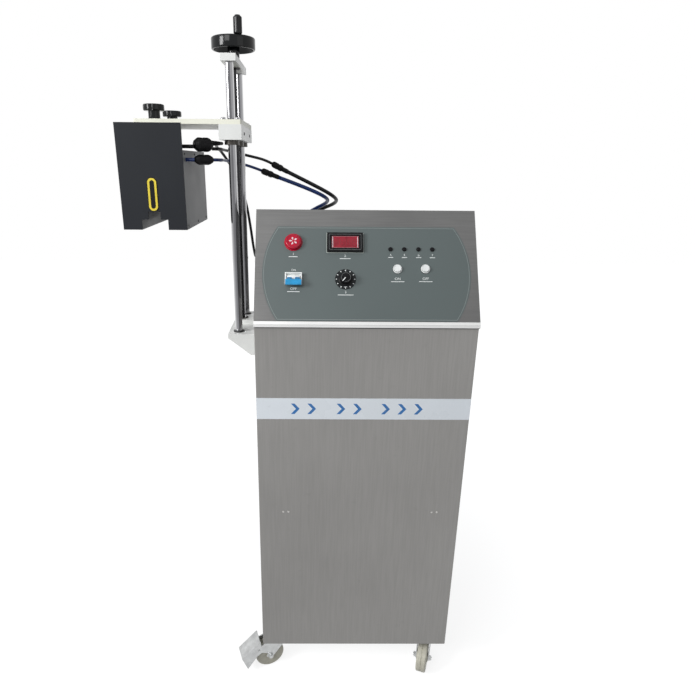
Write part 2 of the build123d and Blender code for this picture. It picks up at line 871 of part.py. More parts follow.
def mast_bracket():
    """Foot plate, wall flange, gussets and the screw's bearing block."""
    near = front_rod_y - foot_plate_front_margin
    far = rear_rod_y + foot_plate_back_margin
    left = -side - foot_plate_reach
    low = foot_plate_top - foot_plate_thickness
    bracket = block(left, -side, near, far, low, foot_plate_top)
    flange_low = foot_plate_top - wall_flange_drop
    bracket += block(-side - wall_flange_thickness, -side, near, far, flange_low, foot_plate_top)
    foot = foot_plate_top - gusset_drop
    outline = Polyline((left, low), (-side - gusset_foot, foot), (-side, foot), (-side, low), close=True)
    gusset = make_face(outline)
    for start in (near, far - gusset_thickness):
        bracket += extrude(Plane.XZ.offset(-start - gusset_thickness) * gusset, gusset_thickness)
    half = bearing_block_depth / 2
    x0 = mast_x - bearing_block_left
    x1 = mast_x + bearing_block_right
    bracket += block(x0, x1, screw_y - half, screw_y + half, foot_plate_top, bearing_top)
    for y in rod_places:
        bracket -= upright(mast_x, y, low - sheet, bearing_top, rod_diameter)
    seat = bearing_top - screw_bush_length
    return bracket - upright(mast_x, screw_y, seat, bearing_top + sheet, screw_bush_diameter)


def mast_rods():
    """Two ground guide rods."""
    low = foot_plate_top - foot_plate_thickness
    return group([upright(mast_x, y, low, cap_top - rod_top_cover, rod_diameter) for y in rod_places])


def mast_cap():
    """Bar across the rods' upper ends."""
    half = cap_width / 2
    near = front_rod_y - cap_end
    far = rear_rod_y + cap_end
    cap = block(mast_x - half, mast_x + half, near, far, cap_underside, cap_top)
    for y in rod_places:
        cap -= upright(mast_x, y, cap_underside - sheet, cap_top - rod_top_cover, rod_diameter)
    return cap - upright(mast_x, screw_y, cap_underside - sheet, cap_top + sheet, screw_bush_diameter)


def flanged_bush(sleeve, flange, bore, sleeve_length, flange_height):
    """Bush drawn about the face under its flange, flange upward."""
    body = Pos(0, 0, -sleeve_length / 2) * Cylinder(sleeve / 2, sleeve_length)
    body += Pos(0, 0, flange_height / 2) * Cylinder(flange / 2, flange_height)
    return body - Cylinder(bore / 2, 2 * (sleeve_length + flange_height))


def screw_bushes():
    """Bearings of the lead screw, below and above."""
    bore = journal_diameter + 2 * running_clearance
    sizes = (screw_bush_diameter, screw_bush_flange, bore, screw_bush_length, screw_bush_flange_height)
    bush = flanged_bush(*sizes)
    lower = Pos(mast_x, screw_y, bearing_top) * bush
    upper = Pos(mast_x, screw_y, cap_underside) * Rot(180, 0, 0) * bush
    return group([lower, upper])


def carriage_bush(y, bore):
    """Flanged bush hanging in the slider block."""
    bush = flanged_bush(guide_bush_diameter, guide_flange_diameter, bore, block_height, guide_flange_height)
    return Pos(mast_x, y, block_underside) * Rot(180, 0, 0) * bush


def lead_screw():
    """Screw with a journal at each end; the upper one carries the handwheel."""
    low = bearing_top + screw_bush_flange_height + end_play
    high = cap_underside - screw_bush_flange_height - end_play
    screw = upright(mast_x, screw_y, low, high, screw_diameter)
    screw += upright(mast_x, screw_y, bearing_top - journal_length, low, journal_diameter)
    return screw + upright(mast_x, screw_y, high, hub_top, journal_diameter)


def handwheel():
    """Rim, hub and spokes, with the bolt of the revolving handle."""
    wheel = Pos(mast_x, screw_y, rim_height) * Torus(rim_radius, rim_section / 2)
    spoke = Pos(rim_radius / 2, 0, 0) * Box(rim_radius, spoke_width, spoke_thickness)
    for number in range(spoke_count):
        angle = handle_angle - 90 + number * 360 / spoke_count
        wheel += Pos(mast_x, screw_y, rim_height) * Rot(0, 0, angle) * spoke
    hub = upright(mast_x, screw_y, hub_bottom, hub_top, handwheel_hub_diameter)
    wheel += fillet(hub.edges().group_by(Axis.Z)[-1], corner_radius)
    wheel -= upright(mast_x, screw_y, hub_bottom - sheet, hub_top + sheet, journal_diameter)
    bolt_top = handle_bottom + handle_length + end_play
    wheel += upright(handle_x, handle_y, rim_height, bolt_top, handle_bolt_diameter)
    return wheel + upright(handle_x, handle_y, bolt_top, bolt_top + handle_bolt_head_height, handle_bolt_head)


def handle_grip():
    """Sleeve that turns on the handle's bolt."""
    grip = upright(handle_x, handle_y, handle_bottom, handle_bottom + handle_length, handle_diameter)
    grip = fillet(grip.edges(), corner_radius)
    bore = handle_bolt_diameter + 2 * running_clearance
    return grip - upright(handle_x, handle_y, 0, 2 * handle_bottom, bore)


def arm_screw_places():
    """Corners of the slider block where the arm is bolted."""
    near = front_rod_y - arm_screw_end
    far = rear_rod_y + arm_screw_end
    across = block_half_width - arm_screw_inset
    return [(mast_x + turn * across, y) for turn in (-1, 1) for y in (near, far)]


def slider_block():
    """Block on both rods and the screw."""
    half = block_half_width
    near = front_rod_y - block_end
    far = rear_rod_y + block_end
    body = block(mast_x - half, mast_x + half, near, far, block_underside, arm_bottom)
    for y in (front_rod_y, screw_y, rear_rod_y):
        body -= upright(mast_x, y, block_underside - sheet, arm_bottom + sheet, guide_bush_diameter)
    for x, y in arm_screw_places():
        body -= upright(x, y, arm_bottom - arm_screw_depth, arm_bottom + sheet, arm_screw_diameter)
    return body


def arm_plate():
    """Plate from the slider block out over the head."""
    near = front_rod_y - block_end
    far = rear_rod_y + block_end
    plate = block(mast_x - arm_reach, mast_x + block_half_width, near, far, arm_bottom, arm_top)
    plate = fillet(plate.edges().filter_by(Axis.Z), arm_corner)
    for y in rod_places:
        plate -= upright(mast_x, y, 0, 2 * arm_top, rod_diameter + arm_hole_margin)
        plate -= upright(head_x, y, 0, 2 * arm_top, stud_hole_diameter)
    plate -= upright(mast_x, screw_y, 0, 2 * arm_top, screw_diameter + arm_hole_margin)
    for x, y in arm_screw_places():
        plate -= upright(x, y, 0, 2 * arm_top, arm_screw_diameter)
    return plate


def arm_screws():
    """Domed screws that hold the arm to the block."""
    screws = []
    for x, y in arm_screw_places():
        head = upright(x, y, arm_top, arm_top + arm_screw_head_height, arm_screw_head)
        head = fillet(head.edges().group_by(Axis.Z)[-1], arm_screw_head_height - sheet)
        screws.append(head + upright(x, y, arm_bottom - arm_screw_depth, arm_top, arm_screw_diameter))
    return group(screws)


def tunnel(grow):
    """The stepped tunnel along the head, grown by a wall."""
    wide = channel_width / 2 + grow
    narrow = slot_width / 2 + grow
    near = head_front_y - 2 * front_plate_thickness
    far = head_back_y + sheet
    low = head_bottom - sheet
    lower = block(head_x - wide, head_x + wide, near, far, low, channel_top + grow)
    return lower + block(head_x - narrow, head_x + narrow, near, far, low, slot_top + grow)


def head_housing():
    """Hollow box round the tunnel, closed behind, with two pillars above."""
    body = block(head_left, head_right, head_front_y, head_back_y, head_bottom, head_top)
    wall = head_wall
    room = block(head_left + wall, head_right - wall, head_front_y - wall, head_back_y - wall,
                 head_bottom + wall, head_top - head_roof)
    body -= room - tunnel(wall)
    body -= tunnel(0)
    for y in rod_places:
        body += upright(head_x, y, head_top, arm_bottom, pillar_diameter)
        bore = stud_diameter + 2 * running_clearance
        body -= upright(head_x, y, arm_bottom - stud_depth - sheet, arm_bottom + sheet, bore)
    half = cable_boss_size / 2
    y = connector_foot[1]
    boss_top = head_top + cable_boss_height
    return body + block(cable_boss_x - half, cable_boss_x + half, y - half, y + half, head_top, boss_top)


def head_front_plate():
    """Tall plate on the head's front, as high as the arm."""
    near = head_front_y - front_plate_thickness
    plate = block(head_left, head_right, near, head_front_y, head_bottom, arm_bottom)
    return plate - tunnel(0)


def coil_core():
    """Core seated on the tunnel's walls inside the head."""
    half = core_width / 2
    low = channel_top + head_wall
    near = head_front_y + core_end_gap
    far = head_back_y - head_wall - core_end_gap
    core = block(head_x - half, head_x + half, near, far, low, low + core_height)
    return core - tunnel(head_wall)


def star_knob(y):
    """Lobed head, neck and stud."""
    neck_low = arm_top + running_clearance
    head_low = neck_low + knob_neck_height
    head_high = head_low + knob_head_height
    knob = upright(head_x, y, head_low, head_high, knob_head_diameter)
    knob = fillet(knob.edges(), corner_radius)
    for number in range(knob_lobes):
        angle = math.radians(number * 360 / knob_lobes + knob_lobe_angle)
        reach = knob_head_diameter / 2 + knob_notch_offset
        x_notch = head_x + reach * math.cos(angle)
        y_notch = y + reach * math.sin(angle)
        knob -= upright(x_notch, y_notch, head_low - sheet, head_high + sheet, knob_lobe_notch)
    knob += upright(head_x, y, neck_low, head_low + sheet, knob_neck_diameter)
    return knob + upright(head_x, y, arm_bottom - stud_depth, neck_low, stud_diameter)


def connector(height, diameter, foot):
    """Cylinder of an inline connector, with a short stub to the head."""
    body = between((*connector_foot, height), (*connector_mouth, height), diameter)
    return body + between(foot, (*connector_foot, foot[2]), stub_diameter)


def inline_connectors():
    """Both connectors beside the head."""
    y = connector_foot[1]
    black_foot = (cable_boss_x + cable_boss_size / 2, y, black_connector_height - black_outlet_drop / 2)
    blue_foot = (head_right, y, blue_connector_height)
    black = connector(black_connector_height, black_connector_diameter, black_foot)
    blue = connector(blue_connector_height, blue_connector_diameter, blue_foot)
    return group([black, blue])


def from_mast(point):
    """Point given by its distance from the mast in X."""
    return (point[0] + mast_x, point[1], point[2])


def two_step(start, end):
    """Coupling with a thick and a thin part."""
    start = Vector(*from_mast(start))
    end = Vector(*from_mast(end))
    step = start + (end - start) * coupling_large_share
    large = between(tuple(start), tuple(step), coupling_diameter)
    return large + between(tuple(step), tuple(end), coupling_small_diameter)


def hose_couplings():
    """Couplings between the thin and the thick hoses."""
    black = two_step(black_coupling_start, black_coupling_end)
    return group([black, two_step(blue_coupling_start, blue_coupling_end)])


def coupling_approach(start, end, lead):
    """Last two points of a hose that comes straight up to a coupling."""
    start = Vector(*from_mast(start))
    axis = (Vector(*from_mast(end)) - start).normalized()
    return [tuple(start - axis * lead), tuple(start - axis * coupling_gap)]


def cord(name, points, diameter):
    """Round cord of straight runs and arcs; prints the arcs' radii."""
    corners = [Vector(*point) for point in points]
    runs = [corners[number + 1] - corners[number] for number in range(len(corners) - 1)]
    radii = []
    for first, second in zip(runs, runs[1:]):
        half_turn = math.radians(first.get_angle(second) / 2)
        radii.append(bend_share * min(first.length, second.length) / math.tan(half_turn))
    print(name, "bend radii", [round(radius, 1) for radius in radii])
    path = FilletPolyline(*corners, radius=radii)
    section = Plane(origin=path @ 0, z_dir=path % 0) * Circle(diameter / 2)
    save(name, sweep(section, path=path))


def port_mouth(number):
    """Outer end of one bulkhead fitting."""
    x, z = ports[number]
    return (x, port_end, z)


# Build the cabinet
save("cabinet_shell", cabinet_shell())
save("console_hood", console_hood())
save("base_plate", base_plate())
save("rear_panel", rear_panel())
save("equipment_shelf", equipment_shelf())
save("panel_overlay", panel_overlay())
save("warning_buzzer", warning_buzzer())
save("meter_case", meter_case())
save("meter_window", meter_window())
save("breaker_body", breaker_body())
save("breaker_toggle", breaker_toggle())
save("dial_plate", dial_plate())
save("potentiometer", potentiometer())
save("power_knob", power_knob())
save("indicator_lamps", indicator_lamps())
save("button_bezels", button_bezels())
save("start_button", push_button(start_place))
save("stop_button", push_button(stop_place))
save("mains_inlet", mains_inlet())
save("hose_ports", hose_ports())
save("water_tank", water_tank())
save("water_pump", water_pump())
save("fan_frame", fan_frame())
save("fan_rotor", fan_rotor())
save("radiator", radiator())
save("power_unit", power_unit())

# Build the castors
save("castor_plates", castor_plates())
for corner in castor_places:
    save("castor_fork_" + corner, castor_fork(corner))
    save("castor_wheel_" + corner, castor_wheel(corner))
save("castor_brake_pedal", brake_pedal())

# Build the mast
save("mast_bracket", mast_bracket())
save("mast_rods", mast_rods())
save("mast_cap", mast_cap())
save("screw_bushes", screw_bushes())
save("lead_screw", lead_screw())
save("handwheel", handwheel())
save("handle_grip", handle_grip())

# Build the carriage and the head
rod_bore = rod_diameter + 2 * running_clearance
screw_bore = screw_diameter + 2 * running_clearance
save("slider_block", slider_block())
save("guide_bushes", group([carriage_bush(y, rod_bore) for y in rod_places]))
save("lead_nut", carriage_bush(screw_y, screw_bore))
save("arm_plate", arm_plate())
save("arm_screws", arm_screws())
save("head_housing", head_housing())
save("head_front_plate", head_front_plate())
save("coil_core", coil_core())
save("star_knob_front", star_knob(front_rod_y))
save("star_knob_rear", star_knob(rear_rod_y))
save("inline_connectors", inline_connectors())

# Build the hoses and the cable
black_outlet = (*connector_mouth, black_connector_height - black_outlet_drop)
blue_outlet = (*connector_mouth, blue_connector_height)
cable_outlet = (*connector_mouth, black_connector_height + cable_outlet_rise)
black_approach = coupling_approach(black_coupling_start, black_coupling_end, black_coupling_lead)
blue_approach = coupling_approach(blue_coupling_start, blue_coupling_end, blue_coupling_lead)
black_head_route = [black_outlet, *map(from_mast, black_head_bends), *black_approach]
blue_head_route = [blue_outlet, *map(from_mast, blue_head_bends), *blue_approach]
cable_route = [cable_outlet, *map(from_mast, cable_bends), port_mouth(2)]
black_tail_route = [from_mast(black_coupling_end), *map(from_mast, black_tail_bends), port_mouth(0)]
blue_tail_route = [from_mast(blue_coupling_end), *map(from_mast, blue_tail_bends), port_mouth(1)]
save("hose_couplings", hose_couplings())
cord("black_hose_head", black_head_route, hose_diameter)
cord("blue_hose_head", blue_head_route, hose_diameter)
cord("head_cable", cable_route, hose_diameter)
cord("black_hose_tail", black_tail_route, tail_diameter)
cord("blue_hose_tail", blue_tail_route, tail_diameter)
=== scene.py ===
import math

import bmesh
import bpy
from mathutils import Matrix, Vector
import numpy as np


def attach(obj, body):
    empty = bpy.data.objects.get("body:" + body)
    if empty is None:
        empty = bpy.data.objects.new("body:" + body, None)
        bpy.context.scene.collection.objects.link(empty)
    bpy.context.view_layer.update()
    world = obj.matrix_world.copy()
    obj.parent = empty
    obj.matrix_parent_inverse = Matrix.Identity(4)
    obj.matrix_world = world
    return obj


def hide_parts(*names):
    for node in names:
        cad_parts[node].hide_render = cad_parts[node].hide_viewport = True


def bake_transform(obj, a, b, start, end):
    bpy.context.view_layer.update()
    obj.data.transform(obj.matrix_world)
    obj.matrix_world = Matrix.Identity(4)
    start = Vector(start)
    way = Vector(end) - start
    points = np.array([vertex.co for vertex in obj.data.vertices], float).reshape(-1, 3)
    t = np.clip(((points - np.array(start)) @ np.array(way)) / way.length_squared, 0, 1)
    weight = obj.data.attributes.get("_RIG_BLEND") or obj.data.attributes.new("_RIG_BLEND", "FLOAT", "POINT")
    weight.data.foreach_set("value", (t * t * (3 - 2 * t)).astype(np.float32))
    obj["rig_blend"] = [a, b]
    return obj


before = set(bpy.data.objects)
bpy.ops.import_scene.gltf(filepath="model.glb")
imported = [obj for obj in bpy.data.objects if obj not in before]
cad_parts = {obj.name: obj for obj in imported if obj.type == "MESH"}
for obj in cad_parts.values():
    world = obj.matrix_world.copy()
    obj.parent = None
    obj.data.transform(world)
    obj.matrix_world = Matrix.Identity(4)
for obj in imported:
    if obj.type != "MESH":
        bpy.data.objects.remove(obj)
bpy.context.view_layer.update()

# Places in the shared frame, in metres
CABINET_X = 0.14715
CABINET_SIDE = 0.235
CABINET_FRONT = -0.210
BODY_TOP = 0.953
LIP_FRONT = -0.217
LIP_TOP = 0.959
REAR_FACE = 0.210
PANEL_ANGLE = math.atan2(221.3, 124.3)
MAST_X = -0.14585
SCREW_Y = 0.0728
ROD_YS = (-0.010, 0.1556)
HEAD_X = -0.31245
PLATE_FRONT = -0.0743
CAP_TOP = 1.491
ARM_TOP = 1.3627
WHEEL_Z = 1.529
WHEEL_TOP = 1.536
NUT_TOP = 1.5415
RIGHT_ANGLE = math.radians(90)
FLAT = Matrix.Identity(4)

# Places on the sloping panel, across and up the slope, and heights over it
BUZZER_AT = (-0.1546, 0.179)
METER_AT = (-0.045, 0.1785)
BREAKER_AT = (-0.1535, 0.098)
DIAL_AT = (-0.0444, 0.098)
START_AT = (0.0652, 0.121)
STOP_AT = (0.1241, 0.1215)
LAMP_XS = (0.0514, 0.0807, 0.1107, 0.140)
LAMP_Y = 0.165
OVERLAY_TOP = 0.0008
PRINT_TOP = OVERLAY_TOP + 0.00012
WINDOW_TOP = 0.0059
BUZZER_TOP = 0.0098

# Routes of the hoses and the cable, the same points as in the part's source
BLACK_HEAD_ROUTE = (
    (-0.18785, -0.02, 1.303), (-0.16685, 0.002, 1.303), (-0.18585, 0.054, 1.303), (-0.18985, 0.12, 1.305),
    (-0.18385, 0.181, 1.303), (-0.12485, 0.193, 1.29), (-0.08991, 0.19513, 1.28185),
    (-0.07214, 0.196, 1.27294),
)
BLUE_HEAD_ROUTE = (
    (-0.18785, -0.02, 1.28), (-0.16685, 0.002, 1.28), (-0.18585, 0.054, 1.279), (-0.18985, 0.12, 1.281),
    (-0.18385, 0.182, 1.278), (-0.13423, 0.19447, 1.26848), (-0.09974, 0.196, 1.25544),
)
CABLE_ROUTE = (
    (-0.1878, -0.02, 1.3145), (-0.1658, 0.003, 1.315), (-0.1848, 0.055, 1.316), (-0.2038, 0.112, 1.314),
    (-0.1978, 0.172, 1.301), (-0.1708, 0.212, 1.252), (-0.1448, 0.206, 1.185), (-0.1328, 0.2, 1.112),
    (-0.1268, 0.206, 1.052), (-0.1248, 0.246, 1.016), (-0.09885, 0.286, 1.014), (-0.04285, 0.29, 1.01),
    (-0.04285, 0.236, 1.01),
)
BLACK_TAIL_ROUTE = (
    (-0.03075, 0.198, 1.2522), (0.03315, 0.206, 1.222), (0.09115, 0.222, 1.192), (0.1052, 0.274, 1.172),
    (0.05315, 0.314, 1.148), (0.00115, 0.322, 1.118), (-0.01285, 0.292, 1.066), (-0.01285, 0.236, 1.066),
)
BLUE_TAIL_ROUTE = (
    (-0.05445, 0.198, 1.2383), (0.00615, 0.205, 1.217), (0.06515, 0.214, 1.192), (0.08115, 0.264, 1.174),
    (0.03515, 0.29, 1.15), (-0.01085, 0.304, 1.119), (-0.05285, 0.288, 1.082), (-0.05285, 0.236, 1.082),
)


def link(obj):
    """Puts an object into the scene."""
    bpy.context.scene.collection.objects.link(obj)
    return obj


def nodes_of(mat):
    """A material's node tree, cleared down to its output."""
    mat.use_nodes = True
    tree = mat.node_tree
    tree.nodes.clear()
    return tree, tree.nodes.new("ShaderNodeOutputMaterial")


def add_node(tree, kind, **values):
    """Shader node with values set on its sockets; an underscore stands for a space."""
    node = tree.nodes.new("ShaderNode" + kind)
    for socket, value in values.items():
        node.inputs[socket.replace("_", " ")].default_value = value
    return node


def tint(tree, base, colour, share):
    """Socket of a base colour with another one mixed in by a share."""
    mixed = tree.nodes.new("ShaderNodeMix")
    mixed.data_type = "RGBA"
    mixed.inputs["B"].default_value = (*colour, 1)
    tree.links.new(share, mixed.inputs["Factor"])
    tree.links.new(base, mixed.inputs["A"])
    return mixed.outputs["Result"]


def any_of(tree, *rays):
    """Socket that is one where any of the kinds of ray holds."""
    found = rays[0]
    for ray in rays[1:]:
        larger = tree.nodes.new("ShaderNodeMath")
        larger.operation = "MAXIMUM"
        tree.links.new(found, larger.inputs[0])
        tree.links.new(ray, larger.inputs[1])
        found = larger.outputs["Value"]
    return found


def surface(name, colour, rough=0.5, metal=0.0, vary=0.08, scale=14.0, grain=260.0, stretch=(1, 1, 1),
            bump=0.05, rough_vary=0.08, coat=0.0, specular=0.5, spots=0.0, edge=None):
    """Material with cloudy colour, fine grain, uneven gloss and a small bump; an edge colour adds a painted
    reflection toward grazing angles.
    """
    mat = bpy.data.materials.new(name)
    tree, out = nodes_of(mat)
    wire = tree.links.new
    shader = add_node(tree, "BsdfPrincipled", Metallic=metal, Coat_Weight=coat, Specular_IOR_Level=specular)
    place = add_node(tree, "TexCoord").outputs["Object"]
    mapping = add_node(tree, "Mapping", Scale=stretch)
    wire(place, mapping.inputs["Vector"])
    clouds = add_node(tree, "TexNoise", Scale=scale, Detail=4)
    wire(place, clouds.inputs["Vector"])
    fine = add_node(tree, "TexNoise", Scale=grain, Detail=3)
    wire(mapping.outputs["Vector"], fine.inputs["Vector"])
    ramp = add_node(tree, "ValToRGB")
    low, high = ramp.color_ramp.elements[0], ramp.color_ramp.elements[1]
    low.position, high.position = 0.3, 0.7
    low.color = (*[c * (1 - vary) for c in colour], 1)
    high.color = (*[min(1.0, c * (1 + vary)) for c in colour], 1)
    wire(clouds.outputs["Fac"], ramp.inputs["Fac"])
    mixed = tree.nodes.new("ShaderNodeMix")
    mixed.data_type = "RGBA"
    mixed.blend_type = "MULTIPLY"
    mixed.inputs["Factor"].default_value = 0.35
    wire(ramp.outputs["Color"], mixed.inputs["A"])
    tone = add_node(tree, "MapRange", From_Min=0.35, From_Max=0.65, To_Min=1 - 2.5 * vary)
    wire(fine.outputs["Fac"], tone.inputs["Value"])
    wire(tone.outputs["Result"], mixed.inputs["B"])
    shade = mixed.outputs["Result"]
    if spots:
        dirt = add_node(tree, "TexNoise", Scale=45, Detail=6)
        wire(place, dirt.inputs["Vector"])
        mark = add_node(tree, "MapRange", From_Min=0.66, From_Max=0.74, To_Max=spots)
        wire(dirt.outputs["Fac"], mark.inputs["Value"])
        shade = tint(tree, shade, [c * 0.55 for c in colour], mark.outputs["Result"])
    # Painted reflection: the base colour turns toward the edge colour at grazing angles, so a thing's sides
    # read lighter than its middle.
    if edge:
        facing = add_node(tree, "LayerWeight", Blend=0.55)
        shade = tint(tree, shade, edge, facing.outputs["Facing"])
    wire(shade, shader.inputs["Base Color"])
    gloss = add_node(tree, "MapRange", From_Min=0.3, From_Max=0.7, To_Min=max(0.02, rough - rough_vary),
                     To_Max=min(1.0, rough + rough_vary))
    wire(clouds.outputs["Fac"], gloss.inputs["Value"])
    wire(gloss.outputs["Result"], shader.inputs["Roughness"])
    relief = add_node(tree, "Bump", Strength=bump, Distance=0.0004)
    wire(fine.outputs["Fac"], relief.inputs["Height"])
    wire(relief.outputs["Normal"], shader.inputs["Normal"])
    wire(shader.outputs["BSDF"], out.inputs["Surface"])
    return mat


STEEL = surface("brushed_sheet", (0.255, 0.250, 0.242), rough=0.42, metal=0.8, vary=0.08, scale=2.5,
                grain=6.0, stretch=(60, 60, 2), bump=0.06, rough_vary=0.06, spots=0.10)
# The hood is the cabinet's steel painted darker: painted shade that offsets the light on its upward-facing
# slope.
HOOD_SHADED = surface("brushed_hood_shaded", (0.150, 0.150, 0.149), rough=0.33, metal=0.85, vary=0.12, scale=3.0,
               grain=6.0, stretch=(2, 60, 60), bump=0.06, rough_vary=0.06, spots=0.10)
ZINC = surface("zinc_plate", (0.55, 0.56, 0.56), rough=0.38, metal=0.9, vary=0.12, scale=60, grain=400,
               bump=0.08)
# Rods: dark polished steel whose edge colour paints a bright reflection along their sides.
GROUND_SHEEN = surface("ground_rod_painted_sheen", (0.16, 0.16, 0.17), rough=0.09, metal=1.0, vary=0.06, scale=30, grain=20,
                 stretch=(1, 1, 60), bump=0.02, rough_vary=0.03, edge=(0.95, 0.95, 0.96))
THREAD = surface("screw_steel", (0.045, 0.045, 0.048), rough=0.3, metal=0.9, vary=0.1, scale=50, grain=300,
                 bump=0.04)
OVERLAY = surface("overlay_film", (0.096, 0.120, 0.119), rough=0.5, vary=0.04, scale=5, grain=900,
                  bump=0.05, rough_vary=0.05)
LINE = surface("pale_print", (0.24, 0.27, 0.265), rough=0.5, vary=0.05, scale=30, grain=500, bump=0.02)
GASKET = surface("pale_gasket", (0.40, 0.44, 0.41), rough=0.5, vary=0.05, scale=30, grain=500, bump=0.02)
RED = surface("buzzer_red", (0.50, 0.003, 0.030), rough=0.16, vary=0.12, scale=80, grain=500, bump=0.03,
              specular=0.25)
PINK = surface("buzzer_holes", (0.88, 0.72, 0.76), rough=0.4, vary=0.2, scale=300, grain=700, bump=0.05)
BLACK = surface("moulded_black", (0.006, 0.006, 0.007), rough=0.42, specular=0.12, vary=0.25, scale=60,
                grain=800, bump=0.08)
GLOSS_BLACK = surface("enamel_black", (0.006, 0.007, 0.008), rough=0.12, specular=0.2, vary=0.2, scale=50,
                      grain=300, bump=0.03, coat=0.05)
WINDOW = surface("display_red", (0.34, 0.022, 0.040), rough=0.3, vary=0.2, scale=90, grain=900, bump=0.03,
                 specular=0.2)
WINDOW_EDGE = surface("display_edge", (0.55, 0.24, 0.27), rough=0.4, vary=0.1, scale=90, grain=900,
                      bump=0.03)
WHITE = surface("white_moulding", (0.90, 0.92, 0.91), rough=0.35, vary=0.04, scale=40, grain=600, bump=0.03)
BLUE = surface("switch_blue", (0.03, 0.34, 0.66), rough=0.3, vary=0.15, scale=60, grain=500, bump=0.03,
               specular=0.3)
DIAL = surface("dial_print", (0.010, 0.013, 0.014), rough=0.4, specular=0.2, vary=0.2, scale=70, grain=600,
               bump=0.04)
CREAM = surface("cream_enamel", (0.80, 0.81, 0.79), rough=0.38, vary=0.04, scale=18, grain=350, bump=0.05,
                coat=0.2, spots=0.12)
ARM = surface("arm_enamel", (0.88, 0.88, 0.76), rough=0.4, vary=0.05, scale=18, grain=350, bump=0.05,
              spots=0.15)
CHARCOAL = surface("charcoal_cover", (0.018, 0.020, 0.024), rough=0.55, specular=0.15, vary=0.10, scale=10,
                   grain=900, bump=0.10, rough_vary=0.06)
# The housing is the front plate's charcoal, painted lighter grey as the sheen its sides show at grazing
# angles.
HOUSING_SHEEN = surface("housing_painted_sheen", (0.190, 0.192, 0.196), rough=0.5, vary=0.10, scale=10, grain=900,
                  bump=0.10)
BRASS = surface("dark_bronze", (0.05, 0.045, 0.04), rough=0.25, metal=0.6, vary=0.2, scale=60, grain=300,
                bump=0.04)
CAST = surface("pump_paint", (0.10, 0.11, 0.12), rough=0.6, vary=0.1, scale=30, grain=200, bump=0.2)
UNIT = surface("unit_paint", (0.42, 0.43, 0.44), rough=0.45, vary=0.05, scale=30, grain=600, bump=0.06)
CORE = surface("core_ferrite", (0.07, 0.07, 0.075), rough=0.6, vary=0.2, scale=60, grain=300, bump=0.15)
WHEEL = surface("wheel_nylon", (0.62, 0.60, 0.50), rough=0.45, vary=0.10, scale=50, grain=260, bump=0.10,
                spots=0.35)
BLACK_HOSE = surface("hose_black", (0.008, 0.008, 0.010), rough=0.35, specular=0.2, vary=0.2, scale=60,
                     grain=700, bump=0.05)
BLUE_HOSE = surface("hose_navy", (0.008, 0.035, 0.17), rough=0.3, vary=0.2, scale=60, grain=700, bump=0.05,
                    specular=0.3)
YELLOW = surface("seal_yellow", (0.78, 0.62, 0.05), rough=0.4, vary=0.08, scale=60, grain=500, bump=0.04)
STRIP = surface("strip_film", (0.80, 0.85, 0.90), rough=0.3, vary=0.02, scale=20, grain=400, bump=0.02,
                coat=0.3)
STRIP_BLUE = surface("strip_print", (0.03, 0.17, 0.45), rough=0.35, vary=0.08, scale=60, grain=500,
                     bump=0.02)
PRINT = surface("white_print", (0.86, 0.89, 0.88), rough=0.5, vary=0.04, scale=60, grain=700, bump=0.02)
SHADED_RED = surface("buzzer_shade", (0.10, 0.002, 0.010), rough=0.4, vary=0.1, scale=80, grain=500,
                   bump=0.03)
FIGURE = surface("display_figures", (0.20, 0.010, 0.020), rough=0.3, vary=0.1, scale=90, grain=900,
                 bump=0.02)
GREY_TRIM = surface("grey_trim", (0.16, 0.17, 0.17), rough=0.45, vary=0.08, scale=60, grain=700, bump=0.03)
DARK_TRIM = surface("dark_trim", (0.035, 0.038, 0.040), rough=0.35, specular=0.15, vary=0.15, scale=60,
                    grain=700, bump=0.04)
SHADED_BLUE = surface("switch_shade", (0.012, 0.17, 0.36), rough=0.4, vary=0.12, scale=60, grain=500,
                    bump=0.03)
RIVET = surface("rivet_steel", (0.50, 0.49, 0.47), rough=0.35, metal=0.8, vary=0.08, scale=80, grain=400,
                bump=0.04)
# Painted highlight: a bright copy of the steel for the hood's folded lip.
FOLD_HIGHLIGHT = surface("painted_fold_highlight", (0.80, 0.80, 0.79), rough=0.40, metal=0.35, vary=0.05, scale=6, grain=12,
                 stretch=(2, 60, 60), bump=0.04)
DARK_STEEL = surface("black_oxide", (0.045, 0.045, 0.048), rough=0.35, metal=0.7, vary=0.15, scale=90,
                     grain=500, bump=0.05)
NICKEL = surface("nickel_plate", (0.55, 0.53, 0.49), rough=0.22, metal=1.0, vary=0.08, scale=80, grain=400,
                 bump=0.04)
FIN = surface("fin_aluminium", (0.55, 0.56, 0.57), rough=0.4, metal=0.9, vary=0.1, scale=60, grain=300,
              bump=0.08)

